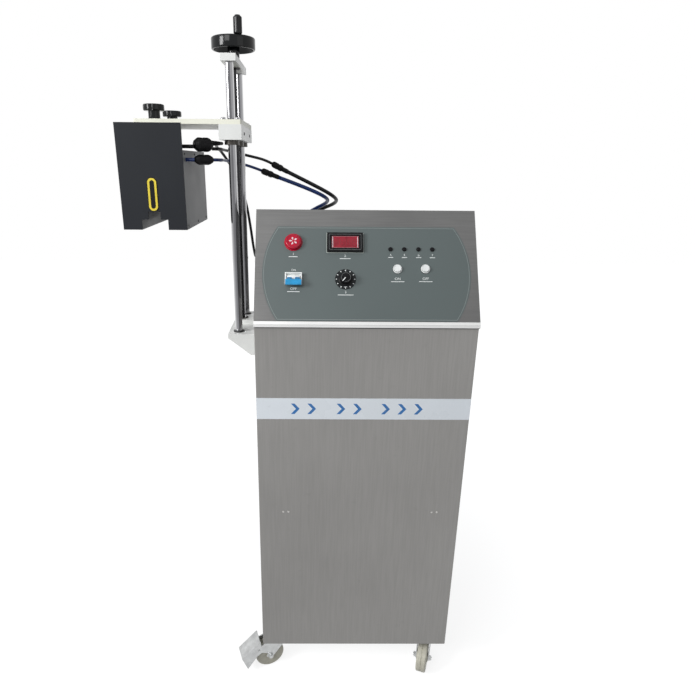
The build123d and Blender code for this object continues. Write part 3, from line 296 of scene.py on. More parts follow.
NODE_MATERIALS = {
    STEEL: ("cabinet_shell", "rear_panel"),
    HOOD_SHADED: ("console_hood",),
    ZINC: ("base_plate", "equipment_shelf", "castor_plates", "castor_fork_fl", "castor_fork_fr",
           "castor_fork_rl", "castor_fork_rr", "castor_brake_pedal"),
    GROUND_SHEEN: ("mast_rods", "arm_screws"),
    THREAD: ("lead_screw",),
    OVERLAY: ("panel_overlay",),
    RED: ("warning_buzzer",),
    BLACK: ("meter_case", "power_knob", "potentiometer", "fan_frame", "fan_rotor", "mains_inlet",
            "indicator_lamps", "inline_connectors", "hose_couplings", "hose_ports"),
    GLOSS_BLACK: ("star_knob_front", "star_knob_rear", "handwheel", "handle_grip"),
    WINDOW: ("meter_window",),
    WHITE: ("breaker_body", "start_button", "stop_button", "button_bezels", "water_tank"),
    BLUE: ("breaker_toggle",),
    DIAL: ("dial_plate",),
    BRASS: ("guide_bushes", "lead_nut", "screw_bushes"),
    CAST: ("water_pump",),
    UNIT: ("power_unit",),
    CREAM: ("mast_bracket", "mast_cap", "slider_block"),
    ARM: ("arm_plate",),
    CHARCOAL: ("head_front_plate",),
    HOUSING_SHEEN: ("head_housing",),
    CORE: ("coil_core",),
    WHEEL: ("castor_wheel_fl", "castor_wheel_fr", "castor_wheel_rl", "castor_wheel_rr"),
    FIN: ("radiator",),
    BLACK_HOSE: ("black_hose_head", "head_cable", "black_hose_tail"),
    BLUE_HOSE: ("blue_hose_head", "blue_hose_tail"),
}
for mat, names in NODE_MATERIALS.items():
    for name in names:
        node = bpy.data.objects[name]
        node.data.materials.clear()
        node.data.materials.append(mat)


def piece(name, shape, mat, body, smooth=False):
    """Mesh piece that rides on a body; its shape is points and faces."""
    verts, faces = shape
    mesh = bpy.data.meshes.new(name)
    mesh.from_pydata([tuple(v) for v in verts], [], faces)
    mesh.validate()
    mesh.materials.append(mat)
    if smooth:
        mesh.shade_smooth()
    obj = link(bpy.data.objects.new(name, mesh))
    if body:
        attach(obj, body)
    return obj


def on_panel(x, s, n):
    """Point of the sloping panel: across, up the slope and out of it."""
    y = LIP_FRONT + s * math.cos(PANEL_ANGLE) - n * math.sin(PANEL_ANGLE)
    z = LIP_TOP + s * math.sin(PANEL_ANGLE) + n * math.cos(PANEL_ANGLE)
    return Vector((CABINET_X + x, y, z))


def panel_frame(x, s, n):
    """Matrix of a place on the panel, its third axis out of it."""
    up = Vector((0, math.cos(PANEL_ANGLE), math.sin(PANEL_ANGLE)))
    out = Vector((0, -math.sin(PANEL_ANGLE), math.cos(PANEL_ANGLE)))
    turn = Matrix((Vector((1, 0, 0)), up, out)).transposed().to_4x4()
    return Matrix.Translation(on_panel(x, s, n)) @ turn


def axis_frame(origin, axis):
    """Matrix whose third axis points along the given direction."""
    return Matrix.Translation(Vector(origin)) @ Vector(axis).to_track_quat("Z", "Y").to_matrix().to_4x4()


def lathe(profile, matrix=FLAT, segments=32):
    """Points and faces of a turned shape; profile is (radius, height) pairs."""
    verts, faces = [], []
    for radius, height in profile:
        for number in range(segments):
            angle = 2 * math.pi * number / segments
            verts.append(matrix @ Vector((radius * math.cos(angle), radius * math.sin(angle), height)))
    for row in range(len(profile) - 1):
        for number in range(segments):
            a = row * segments + number
            b = row * segments + (number + 1) % segments
            faces.append((a, b, b + segments, a + segments))
    faces.append(tuple(reversed(range(segments))))
    last = (len(profile) - 1) * segments
    faces.append(tuple(range(last, last + segments)))
    return verts, faces


def prism(outline, low, high, matrix=FLAT):
    """Points and faces of a flat shape pulled from low to high."""
    count = len(outline)
    verts = [matrix @ Vector((x, y, height)) for height in (low, high) for x, y in outline]
    faces = [tuple(reversed(range(count))), tuple(range(count, 2 * count))]
    for number in range(count):
        nxt = (number + 1) % count
        faces.append((number, nxt, nxt + count, number + count))
    return verts, faces


def rounded(width, height, radius, steps=6):
    """Outline of a rounded rectangle."""
    points = []
    for cx, cy, start in ((1, 1, 0), (-1, 1, 90), (-1, -1, 180), (1, -1, 270)):
        for step in range(steps + 1):
            angle = math.radians(start + 90 * step / steps)
            points.append((cx * (width / 2 - radius) + radius * math.cos(angle),
                           cy * (height / 2 - radius) + radius * math.sin(angle)))
    return points


def slab(x, y, width, height, radius, low, high, steps=2):
    """Flat bar with rounded corners about a place."""
    return prism([(x + px, y + py) for px, py in rounded(width, height, radius, steps)], low, high)


def join(parts):
    """Several shapes as one list of points and faces."""
    verts, faces = [], []
    for part_verts, part_faces in parts:
        start = len(verts)
        verts += part_verts
        faces += [tuple(i + start for i in face) for face in part_faces]
    return verts, faces


def ring(outer, inner, low, high, matrix=FLAT):
    """Frame between two outlines with the same number of points."""
    count = len(outer)
    verts = []
    for height in (low, high):
        for outline in (outer, inner):
            verts += [matrix @ Vector((x, y, height)) for x, y in outline]
    faces = []
    for number in range(count):
        nxt = (number + 1) % count
        faces.append((number, nxt, count + nxt, count + number))
        faces.append((2 * count + number, 3 * count + number, 3 * count + nxt, 2 * count + nxt))
        faces.append((number, 2 * count + number, 2 * count + nxt, nxt))
        faces.append((count + number, count + nxt, 3 * count + nxt, 3 * count + number))
    return verts, faces


# Panel details
def panel_shape(shape, place):
    """Shape moved from the flat to a place on the panel."""
    matrix = panel_frame(*place, 0)
    verts, faces = shape
    return [matrix @ Vector(v) for v in verts], faces


def panel_piece(name, shape, place, mat, body="cabinet"):
    """Piece drawn flat about a place on the panel."""
    return piece(name, panel_shape(shape, place), mat, body)


def circle(radius, segments=40):
    """Outline of a circle."""
    return [(radius * math.cos(2 * math.pi * n / segments), radius * math.sin(2 * math.pi * n / segments))
            for n in range(segments)]


def turned(outline, angle, reach):
    """Outline moved outward by reach and turned about the middle; zero points up."""
    cos, sin = math.cos(angle), math.sin(angle)
    return [(x * cos - (y + reach) * sin, x * sin + (y + reach) * cos) for x, y in outline]


def overlay_outline(inset):
    """Outline of the overlay, drawn in by a margin."""
    half_height, bulge, wide = 0.1035, 0.0315, 0.188
    radius = (half_height ** 2 + bulge ** 2) / (2 * bulge)
    centre = wide + bulge - radius
    radius -= inset
    half_height -= inset
    sweep = math.asin(half_height / radius)
    points = []
    for side in (1, -1):
        for step in range(25):
            angle = -sweep + 2 * sweep * step / 24
            points.append((side * (centre + radius * math.cos(angle)), side * radius * math.sin(angle)))
    return points


def add_overlay_marks():
    """Pale outline, plain labels and the short rules under them."""
    line = ring(overlay_outline(0.0026), overlay_outline(0.0036), OVERLAY_TOP, PRINT_TOP)
    panel_piece("overlay_line", line, (0, 0.1115), LINE)
    for name, text, x, y, size in (
            ("on", "ON", BREAKER_AT[0], 0.1175, 0.0060), ("off", "OFF", BREAKER_AT[0], 0.0765, 0.0078),
            ("start", "ON", START_AT[0], 0.0995, 0.0078), ("stop", "OFF", STOP_AT[0], 0.1000, 0.0078),
            ("buzzer", "1", BUZZER_AT[0], 0.1530, 0.0078), ("meter", "2", METER_AT[0], 0.1495, 0.0078),
            ("dial", "3", DIAL_AT[0], 0.0700, 0.0078)):
        letters("mark_" + name, text, x, y, size)
    for number, x in enumerate(LAMP_XS):
        letters("mark_lamp_%d" % (number + 1), str(number + 4), x, 0.1520, 0.0070)
    rules = [(BUZZER_AT[0], 0.1470, 0.0190), (METER_AT[0], 0.1435, 0.0230), (DIAL_AT[0], 0.0640, 0.0330),
             (BREAKER_AT[0], 0.0705, 0.0260), (START_AT[0], 0.0935, 0.0280), (STOP_AT[0], 0.0940, 0.0280)]
    rules += [(x, 0.1468, 0.0110) for x in LAMP_XS]
    shapes = [slab(x, y, width, 0.0013, 0.0004, OVERLAY_TOP, PRINT_TOP) for x, y, width in rules]
    panel_piece("mark_rules", join(shapes), (0, 0), PRINT)


def letters(name, text, x, s, size):
    """Plain printed word or number on the overlay."""
    curve = bpy.data.curves.new(name, "FONT")
    curve.body = text
    curve.size = size
    curve.align_x = "CENTER"
    curve.align_y = "CENTER"
    curve.resolution_u = 4
    source = link(bpy.data.objects.new(name, curve))
    mesh = bpy.data.meshes.new_from_object(source)
    bpy.data.objects.remove(source)
    mesh.transform(panel_frame(x, s, PRINT_TOP))
    mesh.materials.clear()
    mesh.materials.append(PRINT)
    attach(link(bpy.data.objects.new(name, mesh)), "cabinet")


def add_buzzer_details():
    """Star of sound holes, the step of the rim in painted shade, and the collar."""
    kite = [(0, -0.0034), (0.0021, 0.0012), (0, 0.0040), (-0.0021, 0.0012)]
    shapes = [prism(turned(kite, 2 * math.pi * number / 5 + 0.3, 0.0052), BUZZER_TOP, BUZZER_TOP + 0.0002)
              for number in range(5)]
    panel_piece("buzzer_star", join(shapes), BUZZER_AT, PINK)
    # Painted shade: a thin darker red ring at the step of the rim.
    rim = ring(circle(0.0138), circle(0.0131), BUZZER_TOP - 0.0002, BUZZER_TOP + 0.0002)
    panel_piece("buzzer_step_shade", rim, BUZZER_AT, SHADED_RED)
    collar = ring(circle(0.0192), circle(0.0168), OVERLAY_TOP, OVERLAY_TOP + 0.0012)
    panel_piece("buzzer_collar", collar, BUZZER_AT, RED)


# Bars of one figure, in half figure widths and heights, and whether each stands upright
SEGMENTS = ((0, 1, 0), (-0.5, 0.5, 1), (0.5, 0.5, 1), (0, 0, 0), (-0.5, -0.5, 1), (0.5, -0.5, 1), (0, -1, 0))


def add_meter_details():
    """Gasket, frame line, window border and the unlit figures of the meter."""
    pale = ring(rounded(0.0795, 0.0455, 0.002), rounded(0.077, 0.043, 0.002), OVERLAY_TOP,
                OVERLAY_TOP + 0.0004)
    panel_piece("meter_gasket", pale, METER_AT, GASKET)
    groove = ring(rounded(0.0680, 0.0345, 0.002), rounded(0.0668, 0.0333, 0.002), 0.0073, 0.00742)
    panel_piece("meter_line", groove, METER_AT, GREY_TRIM)
    edge = ring(rounded(0.0560, 0.0251, 0.001), rounded(0.0548, 0.0239, 0.001), WINDOW_TOP, 0.0066)
    panel_piece("meter_window_edge", edge, METER_AT, WINDOW_EDGE)
    bars = [slab(x, 0, 0.0012, 0.0236, 0.0003, WINDOW_TOP, 0.0064) for x in (-0.0262, 0.0262)]
    panel_piece("meter_window_sides", join(bars), METER_AT, PINK)
    shapes = []
    for digit in range(4):
        for x, y, upright in SEGMENTS:
            size = (0.0011, 0.0060) if upright else (0.0060, 0.0011)
            cx = -0.0185 + digit * 0.0123 + x * 0.0074
            shapes.append(slab(cx, y * 0.0070, *size, 0.0004, WINDOW_TOP, 0.00602))
    panel_piece("meter_figures", join(shapes), METER_AT, FIGURE)


def add_breaker_details():
    """Frame of the nose, and the barrel, levers and ribbed bar of the tied handle; the levers are a darker
    blue of painted shade.
    """
    lip = ring(rounded(0.0345, 0.0237, 0.0012), rounded(0.0310, 0.0208, 0.0008), 0.0080, 0.0086)
    panel_piece("breaker_lip", lip, BREAKER_AT, WHITE)
    gasket = ring(rounded(0.0385, 0.0277, 0.0015), rounded(0.0357, 0.0249, 0.0012), OVERLAY_TOP, 0.0013)
    panel_piece("breaker_gasket", gasket, BREAKER_AT, GREY_TRIM)
    matrix = panel_frame(*BREAKER_AT, 0)
    barrel = lathe([(0.0068, -0.0135), (0.0073, -0.0130), (0.0073, 0.0130), (0.0068, 0.0135)],
                   matrix @ Matrix.Translation((0, 0, 0.003)) @ Matrix.Rotation(RIGHT_ANGLE, 4, "Y"))
    piece("toggle_barrel", barrel, WHITE, "toggle", smooth=True)
    # Painted shade: the levers, lower than the bar, take a darker copy of its blue.
    levers = [slab(x, -0.0035, 0.0096, 0.0072, 0.0010, 0.0060, 0.0138, 3) for x in (-0.0083, 0.0083)]
    handle = panel_piece("toggle_levers_shaded", join(levers), BREAKER_AT, SHADED_BLUE, "toggle")
    shapes = [slab(0, -0.0102, 0.0335, 0.0118, 0.0016, 0.0098, 0.0146, 4)]
    for row in range(4):
        y = -0.0062 - row * 0.0026
        rib = [(-0.0160, y), (0.0160, y), (0.0160, y + 0.0011), (-0.0160, y + 0.0011)]
        shapes.append(prism(rib, 0.0146, 0.0150))
    bar = panel_piece("toggle_bar", join(shapes), BREAKER_AT, BLUE, "toggle")
    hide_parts("breaker_toggle")


def add_dial_details():
    """Ticks of the dial, and the skirt, flutes, ring and white pointer of the knob."""
    tick = [(-0.0010, -0.0014), (0.0010, -0.0014), (0.0007, 0.0014), (-0.0007, 0.0014)]
    foot = [(-0.0030, -0.0005), (0.0030, -0.0005), (0.0030, 0.0005), (-0.0030, 0.0005)]
    flute = [(-0.0006, -0.0003), (0.0006, -0.0003), (0.0003, 0.0004), (-0.0003, 0.0004)]
    hand = [(-0.0010, -0.0048), (0.0010, -0.0048), (0.0010, 0.0048), (-0.0010, 0.0048)]
    shapes = [prism(turned(tick, 2 * math.pi * number / 12, 0.0192), 0.0018, 0.00192) for number in range(12)]
    shapes.append(prism(turned(foot, math.pi, 0.0168), 0.0018, 0.00192))
    panel_piece("dial_ticks", join(shapes), DIAL_AT, PRINT)
    skirt = lathe(((0.0147, 0.0024), (0.0149, 0.0030), (0.0149, 0.0042), (0.0124, 0.0056)), segments=48)
    panel_piece("knob_skirt", skirt, DIAL_AT, BLACK, "control_knob")
    flutes = [prism(turned(flute, 2 * math.pi * number / 24, 0.0120), 0.0056, 0.0148) for number in range(24)]
    panel_piece("knob_flutes", join(flutes), DIAL_AT, BLACK, "control_knob")
    cap = ring(circle(0.0098), circle(0.0092), 0.01630, 0.01645)
    panel_piece("knob_ring", cap, DIAL_AT, GREY_TRIM, "control_knob")
    pointer = prism(turned(hand, math.radians(140), 0.0062), 0.0178, 0.01795)
    panel_piece("knob_pointer", pointer, DIAL_AT, PRINT, "control_knob")


def add_lamp_and_button_details():
    """Rings round the lamps and the push buttons."""
    profile = ((0.0050, 0.0008), (0.0050, 0.0011), (0.0047, 0.0014), (0.0043, 0.0014))
    for number, x in enumerate(LAMP_XS):
        panel_piece("lamp_ring_%d" % (number + 1), lathe(profile, segments=28), (x, LAMP_Y), DARK_TRIM)
    for name, place in (("start", START_AT), ("stop", STOP_AT)):
        groove = ring(circle(0.00805), circle(0.0074), 0.0028, 0.00290)
        panel_piece(name + "_groove", groove, place, GREY_TRIM)
        foot = ring(circle(0.01015), circle(0.0095), OVERLAY_TOP, OVERLAY_TOP + 0.0003)
        panel_piece(name + "_foot", foot, place, DARK_TRIM)
        panel_piece(name + "_edge", ring(circle(0.0070), circle(0.0058), 0.0058, 0.00605), place, WHITE, name)


# Cabinet details
def wall_box(x0, x1, y0, y1, z0, z1):
    """Points and faces of a box in the shared frame."""
    outline = [(x0, y0), (x1, y0), (x1, y1), (x0, y1)]
    return prism(outline, z0, z1)


def add_strip():
    """White strip across the front with plain blue arrows."""
    left, right = CABINET_X - CABINET_SIDE + 0.0006, CABINET_X + CABINET_SIDE - 0.0006
    strip = wall_box(left, right, CABINET_FRONT - 0.0004, CABINET_FRONT + 0.0008, 0.7405, 0.7906)
    piece("front_strip", strip, STRIP, "cabinet")
    shapes = []
    matrix = Matrix.Translation((0, CABINET_FRONT, 0.7655)) @ Matrix.Rotation(RIGHT_ANGLE, 4, "X")
    for start, count in ((-0.012, 2), (0.088, 2), (0.186, 3)):
        for number in range(count):
            x = start + number * 0.036
            arrow = [(x, 0.0125), (x + 0.008, 0.0125), (x + 0.019, 0), (x + 0.008, -0.0125), (x, -0.0125),
                     (x + 0.011, 0)]
            shapes.append(prism(arrow, 0.0004, 0.0005, matrix))
    piece("strip_arrows", join(shapes), STRIP_BLUE, "cabinet")


def dome_head(place, axis, radius, height, socket=0.0):
    """Domed fastener head, with a round socket where one is given."""
    matrix = axis_frame(place, axis)
    profile = [(radius, 0.0), (radius, height * 0.35), (radius * 0.86, height * 0.72),
               (radius * 0.5, height * 0.95)]
    if socket:
        profile += [(socket, height), (socket, height * 0.35)]
    else:
        profile.append((radius * 0.1, height))
    return lathe(profile, matrix, 16)


def add_rivets():
    """Rivets of the equipment shelf, and screws of the rear panel and the hood."""
    front = [dome_head((CABINET_X + x, CABINET_FRONT, 0.5), (0, -1, 0), 0.0024, 0.0009)
             for x in (-0.1785, -0.1665, 0.1696, 0.1816)]
    piece("front_rivets", join(front), RIVET, "cabinet", smooth=True)
    ends = (0.113, 0.94)
    back = [dome_head((CABINET_X + x, 0.2115, z), (0, 1, 0), 0.0045, 0.0024, 0.0012)
            for x in (-0.222, 0.0, 0.222) for z in (0.113, 0.32, 0.53, 0.74, 0.94) if x or z in ends]
    back += [dome_head((CABINET_X + x, REAR_FACE, z), (0, 1, 0), 0.0045, 0.0024, 0.0012)
             for x in (-0.215, 0.215) for z in (0.975, 1.115)]
    piece("rear_screws", join(back), ZINC, "cabinet", smooth=True)
    # None on the right side, whose face is the part's widest point
    side = [dome_head((CABINET_X - CABINET_SIDE, y, 0.965), (-1, 0, 0), 0.0035, 0.0014, 0.0010)
            for y in (-0.195, 0.195)]
    piece("hood_screws", join(side), RIVET, "cabinet", smooth=True)


def add_lip():
    """Folded edge of the hood over the cabinet in a painted highlight, and a dark strip of painted shadow
    under it.
    """
    left, right = CABINET_X - CABINET_SIDE, CABINET_X + CABINET_SIDE
    # Painted highlight: the fold and the bend above it are in a bright copy of the steel.
    fold = wall_box(left, right, LIP_FRONT - 0.0004, LIP_FRONT + 0.0004, BODY_TOP + 0.0004, LIP_TOP - 0.0002)
    foot = [(-CABINET_SIDE, 0.0), (CABINET_SIDE, 0.0), (CABINET_SIDE, 0.0068), (-CABINET_SIDE, 0.0068)]
    slope = panel_shape(prism(foot, 0.0001, 0.0004), (0, 0))
    piece("hood_edge_highlight", join([fold, slope]), FOLD_HIGHLIGHT, "cabinet")
    # Painted shadow: a dark strip just under the lip, where the lip's shade falls.
    lip_shadow = wall_box(left + 0.001, right - 0.001, CABINET_FRONT - 0.0045, CABINET_FRONT + 0.0005,
                    BODY_TOP - 0.0022, BODY_TOP - 0.0002)
    piece("hood_lip_shadow", lip_shadow, DARK_TRIM, "cabinet")


# Mast and carriage details
def thread(place_x, place_y, low, high, pitch, root, crest):
    """Points and faces of a threaded bar."""
    segments, rows = 20, ((0.0, root), (0.22, root), (0.42, crest), (0.68, crest), (0.88, root))
    turns = int((high - low) / pitch) + 2
    steps = []
    for turn in range(-1, turns):
        steps += [(turn * pitch + offset * pitch, radius) for offset, radius in rows]
    verts, faces = [], []
    for offset, radius in steps:
        for number in range(segments):
            angle = 2 * math.pi * number / segments
            z = min(max(low + offset + pitch * number / segments, low), high)
            verts.append((place_x + radius * math.cos(angle), place_y + radius * math.sin(angle), z))
    count = len(steps)
    per_turn = len(rows)
    for row in range(count - 1):
        for number in range(segments):
            a = row * segments + number
            if number + 1 < segments:
                b = a + 1
                faces.append((a, b, b + segments, a + segments))
            elif row + 1 + per_turn < count:
                b = (row + per_turn) * segments
                faces.append((a, b, b + segments, a + segments))
    return verts, faces


def add_screw():
    """Threaded lead screw with plain ends."""
    core = lathe(((0.005, 0.885), (0.005, 0.8955), (0.0052, 0.896), (0.0052, 1.474), (0.005, 1.4745),
                  (0.005, WHEEL_TOP)), Matrix.Translation((MAST_X, SCREW_Y, 0)), 24)
    turns = thread(MAST_X, SCREW_Y, 0.8958, 1.4740, 0.003, 0.0050, 0.0060)
    obj = piece("screw_thread", join([core, turns]), THREAD, "screw")
    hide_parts("lead_screw")


def add_bracket_details():
    """Bolts of the mast's foot, collars of the rods, and screws of cap and block."""
    side = CABINET_X - CABINET_SIDE
    heads = [dome_head((side - 0.004, y, z), (-1, 0, 0), 0.0060, 0.0042, 0.0026)
             for y in (-0.020, 0.166) for z in (0.832, 0.858)]
    heads += [dome_head((side - 0.018, y, 0.893), (0, 0, 1), 0.0055, 0.0030, 0.0024) for y in (0.056, 0.0896)]
    piece("bracket_bolts", join(heads), DARK_STEEL, "cabinet", smooth=True)
    profile = ((0.0128, 0.881), (0.0128, 0.8835), (0.0120, 0.8845), (0.00905, 0.8845))
    collars = [lathe(profile, Matrix.Translation((MAST_X, y, 0))) for y in ROD_YS]
    piece("rod_collars", join(collars), DARK_STEEL, "cabinet")
    caps = [dome_head((MAST_X, y, CAP_TOP), (0, 0, 1), 0.0052, 0.0030, 0.0024) for y in ROD_YS]
    piece("cap_screws", join(caps), DARK_STEEL, "cabinet", smooth=True)
    sets = [dome_head((MAST_X + 0.0245, y, 1.336), (1, 0, 0), 0.0036, 0.0012, 0.0018)
            for y in (0.018, 0.1276)]
    piece("block_screws", join(sets), DARK_STEEL, "carriage", smooth=True)


def stadium(width, height, steps=14):
    """Outline with straight sides and round ends."""
    radius = width / 2
    points = []
    for centre, start in (((height / 2 - radius), 0), (-(height / 2 - radius), 180)):
        for step in range(steps + 1):
            angle = math.radians(start + 180 * step / steps)
            points.append((radius * math.cos(angle), centre + radius * math.sin(angle)))
    return points


def add_head_details():
    """Yellow-edged window of the head and the screws of its cover."""
    matrix = Matrix.Translation((HEAD_X, PLATE_FRONT, 1.208)) @ Matrix.Rotation(RIGHT_ANGLE, 4, "X")
    hem, border, pane = stadium(0.0222, 0.0715), stadium(0.0192, 0.0685), stadium(0.0102, 0.0595)
    piece("window_edge", ring(hem, border, 0.0, 0.0007, matrix), BLACK, "carriage")
    piece("window_ring", ring(border, pane, 0.0, 0.0011, matrix), YELLOW, "carriage")
    piece("window_pane", prism(pane, 0.0, 0.0004, matrix), GLOSS_BLACK, "carriage")
    screws = [dome_head((HEAD_X + 0.0697, y, z), (1, 0, 0), 0.0030, 0.0014, 0.0009)
              for y in (-0.055, 0.052, 0.158) for z in (1.1405, 1.2915)]
    piece("cover_screws", join(screws), DARK_STEEL, "carriage", smooth=True)


def stepped(start, end, profile, segments=28):
    """Turned shape between two points; heights are shares of the way."""
    start, end = Vector(start), Vector(end)
    length = (end - start).length
    turned_profile = [(radius, share * length) for radius, share in profile]
    return lathe(turned_profile, axis_frame(start, end - start), segments)


def add_connectors():
    """Inline connectors with gripped nuts, and the stubs to the head."""
    shapes = []
    stub = ((0.004, 0.0), (0.004, 1.0))
    grip = [(-0.0007, -0.0004), (0.0007, -0.0004), (0.0004, 0.0), (-0.0004, 0.0)]
    for radius, z in ((0.0145, 1.311), (0.0105, 1.280)):
        start, end = Vector((-0.22385, -0.043, z)), Vector((-0.18785, -0.020, z))
        profile = ((radius * 0.42, 0.0), (radius * 0.60, 0.03), (radius * 0.92, 0.17), (radius, 0.22),
                   (radius, 0.46), (radius * 0.96, 0.47), (radius * 0.96, 0.50), (radius, 0.51),
                   (radius, 0.76), (radius * 0.92, 0.83), (radius * 0.60, 0.97), (radius * 0.42, 1.0))
        shapes.append(stepped(start, end, profile))
        matrix = axis_frame(start, end - start)
        length = (end - start).length
        for number in range(18):
            rib = turned(grip, 2 * math.pi * number / 18, radius + 0.0003)
            shapes.append(prism(rib, 0.54 * length, 0.76 * length, matrix))
            shapes.append(prism(rib, 0.22 * length, 0.38 * length, matrix))
    shapes.append(stepped((-0.25585, -0.043, 1.307), (-0.22385, -0.043, 1.307), stub, 16))
    obj = piece("connector_set", join(shapes), BLACK, "carriage")
    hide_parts("inline_connectors")
    blue_stub = stepped((-0.24275, -0.043, 1.280), (-0.22385, -0.043, 1.280), stub, 16)
    piece("blue_stub", blue_stub, BLUE_HOSE, "carriage")


def add_couplings():
    """Stepped couplings between the thin and the thick hoses."""
    shapes = []
    for start, end in (((-0.07205, 0.196, 1.2729), (-0.03075, 0.198, 1.2522)),
                       ((-0.09965, 0.196, 1.2554), (-0.05445, 0.198, 1.2383))):
        profile = ((0.0045, 0.0), (0.0066, 0.04), (0.0080, 0.12), (0.0080, 0.36), (0.0072, 0.38),
                   (0.0072, 0.42), (0.0080, 0.44), (0.0080, 0.58), (0.0060, 0.66), (0.0060, 0.94),
                   (0.0052, 1.0))
        shapes.append(stepped(start, end, profile))
    obj = piece("coupling_set", join(shapes), BLACK, "cabinet")
    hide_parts("hose_couplings")
    return obj


def add_boots():
    """Tapered strain reliefs at both ends of the cable."""
    line = route_line(CABLE_ROUTE)
    for name, points, body in (("boot_head", line, "carriage"), ("boot_cabinet", line[::-1], "cabinet")):
        near, travelled = [points[0]], 0.0
        for a, b in zip(points, points[1:]):
            travelled += (b - a).length
            near.append(b)
            if travelled > 0.024:
                break
        piece(name, tapered(near, 0.0056, 0.0039), BLACK, body, smooth=True)


def tapered(line, first, last, segments=16):
    """Tube that narrows along a line, with shallow rings."""
    verts, faces = tube(line, 1.0, segments)
    count = len(line)
    shaped = []
    for row in range(count):
        share = row / (count - 1)
        radius = first + (last - first) * share
        if row % 2:
            radius *= 0.93
        for step in range(segments):
            shaped.append(line[row] + (verts[row * segments + step] - line[row]) * radius)
    return shaped, faces


def add_ports():
    """Hexagon nuts and ribbed ferrules of the three bulkhead fittings."""
    shapes = []
    for x, z in ((-0.01285, 1.066), (-0.05285, 1.082), (-0.04285, 1.010)):
        matrix = axis_frame((x, REAR_FACE, z), (0, 1, 0))
        shapes.append(lathe(((0.0110, 0.0), (0.0110, 0.0012), (0.0060, 0.0012)), matrix))
        shapes.append(prism(circle(0.0104, 6), 0.0012, 0.0085, matrix))
        shapes.append(lathe(((0.0068, 0.0085), (0.0070, 0.0100), (0.0070, 0.0235), (0.0062, 0.0260)), matrix))
        for number in range(4):
            low = 0.0120 + number * 0.0026
            shapes.append(lathe(((0.0070, low), (0.0073, low + 0.0006), (0.0070, low + 0.0012)), matrix))
    piece("port_nuts", join(shapes), NICKEL, "cabinet")


def add_knob_tops():
    """Inset discs of the star knobs and the handwheel's cap nut."""
    top = ARM_TOP + 0.00005 + 0.0166 + 0.0136
    profile = ((0.0095, top - 0.0002), (0.0095, top + 0.0003), (0.0085, top + 0.0005), (0.0012, top + 0.0005))
    for name, y in zip(("front", "rear"), ROD_YS):
        disc = lathe(profile, Matrix.Translation((HEAD_X, y, 0)), 28)
        piece(name + "_knob_disc", disc, DARK_TRIM, name + "_knob")
    axis = Matrix.Translation((MAST_X, SCREW_Y, 0))
    hexagon = prism(circle(0.0085, 6), WHEEL_TOP, NUT_TOP, axis)
    end = lathe(((0.0048, NUT_TOP), (0.0048, 1.5435), (0.0040, 1.5445), (0.0005, 1.5447)), axis, 20)
    washer = lathe(((0.0100, 1.5358), (0.0100, 1.5368), (0.0080, 1.5370)), axis, 28)
    piece("wheel_nut", join([hexagon, end, washer]), DARK_STEEL, "screw")


def revolve(profile, matrix, segments=64):
    """Points and faces of a closed ring; profile goes round the section once."""
    verts, faces = [], []
    rows = len(profile)
    for number in range(segments):
        angle = 2 * math.pi * number / segments
        for radius, height in profile:
            verts.append(matrix @ Vector((radius * math.cos(angle), radius * math.sin(angle), height)))
    for number in range(segments):
        here, there = number * rows, (number + 1) % segments * rows
        for row in range(rows):
            nxt = (row + 1) % rows
            faces.append((here + row, there + row, there + nxt, here + nxt))
    return verts, faces


def arc(x, y, radius, start, end, steps=4):
    """Points of a round corner, angles in degrees."""
    turns = [math.radians(start + (end - start) * n / steps) for n in range(steps + 1)]
    return [(x + radius * math.cos(turn), y + radius * math.sin(turn)) for turn in turns]


def add_handwheel():
    """Tall flat rim of the handwheel with its spokes, hub and handle bolt."""
    axis = Matrix.Translation((MAST_X, SCREW_Y, 0))
    low, high = WHEEL_Z - 0.0165, WHEEL_Z + 0.0080
    section = arc(0.0455, high - 0.0034, 0.0034, 0, 90) + arc(0.0385, high - 0.0025, 0.0025, 90, 180)
    section += [(0.0400, WHEEL_Z - 0.004)] + arc(0.0455, low + 0.0015, 0.0015, 180, 270, 3)
    section += arc(0.0462, low + 0.0027, 0.0027, 270, 360)
    parts = [revolve(section, axis)]
    spoke = [(0.010, -0.0062), (0.030, -0.0045), (0.041, -0.0058), (0.041, 0.0058), (0.030, 0.0045),
             (0.010, 0.0062)]
    for number in range(3):
        turn = axis @ Matrix.Rotation(math.radians(22 - 90 + 120 * number), 4, "Z")
        parts.append(prism(spoke, WHEEL_Z - 0.0035, WHEEL_Z + 0.0035, turn))
    hub = [(0.0052, 1.4935), (0.0118, 1.4935), (0.0128, 1.4945), (0.0132, 1.515), (0.0140, 1.522),
           (0.0140, 1.5335), (0.0125, 1.5358), (0.0052, 1.5358)]
    parts.append(revolve(hub, axis, 40))
    top = 1.5716
    bolt = ((0.0039, WHEEL_Z), (0.0039, top), (0.0062, top + 0.0001), (0.0064, top + 0.0008),
            (0.0056, top + 0.0019), (0.0020, top + 0.0019))
    parts.append(lathe(bolt, Matrix.Translation((-0.13012, 0.03386, 0)), 28))
    obj = piece("wheel_rim", join(parts), GLOSS_BLACK, "screw")
    round_off(obj, 40)
    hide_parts("handwheel")


def round_off(obj, limit):
    """Smooth shading that keeps edges sharper than the limit, in degrees."""
    obj.data.shade_smooth()
    attributes = obj.data.attributes
    sharp = attributes.get("sharp_edge") or attributes.new("sharp_edge", "BOOLEAN", "EDGE")
    mesh = bmesh.new()
    mesh.from_mesh(obj.data)
    mesh.edges.ensure_lookup_table()
    most = math.radians(limit)
    wide = [len(edge.link_faces) != 2 or edge.calc_face_angle() > most for edge in mesh.edges]
    mesh.free()
    sharp.data.foreach_set("value", wide)


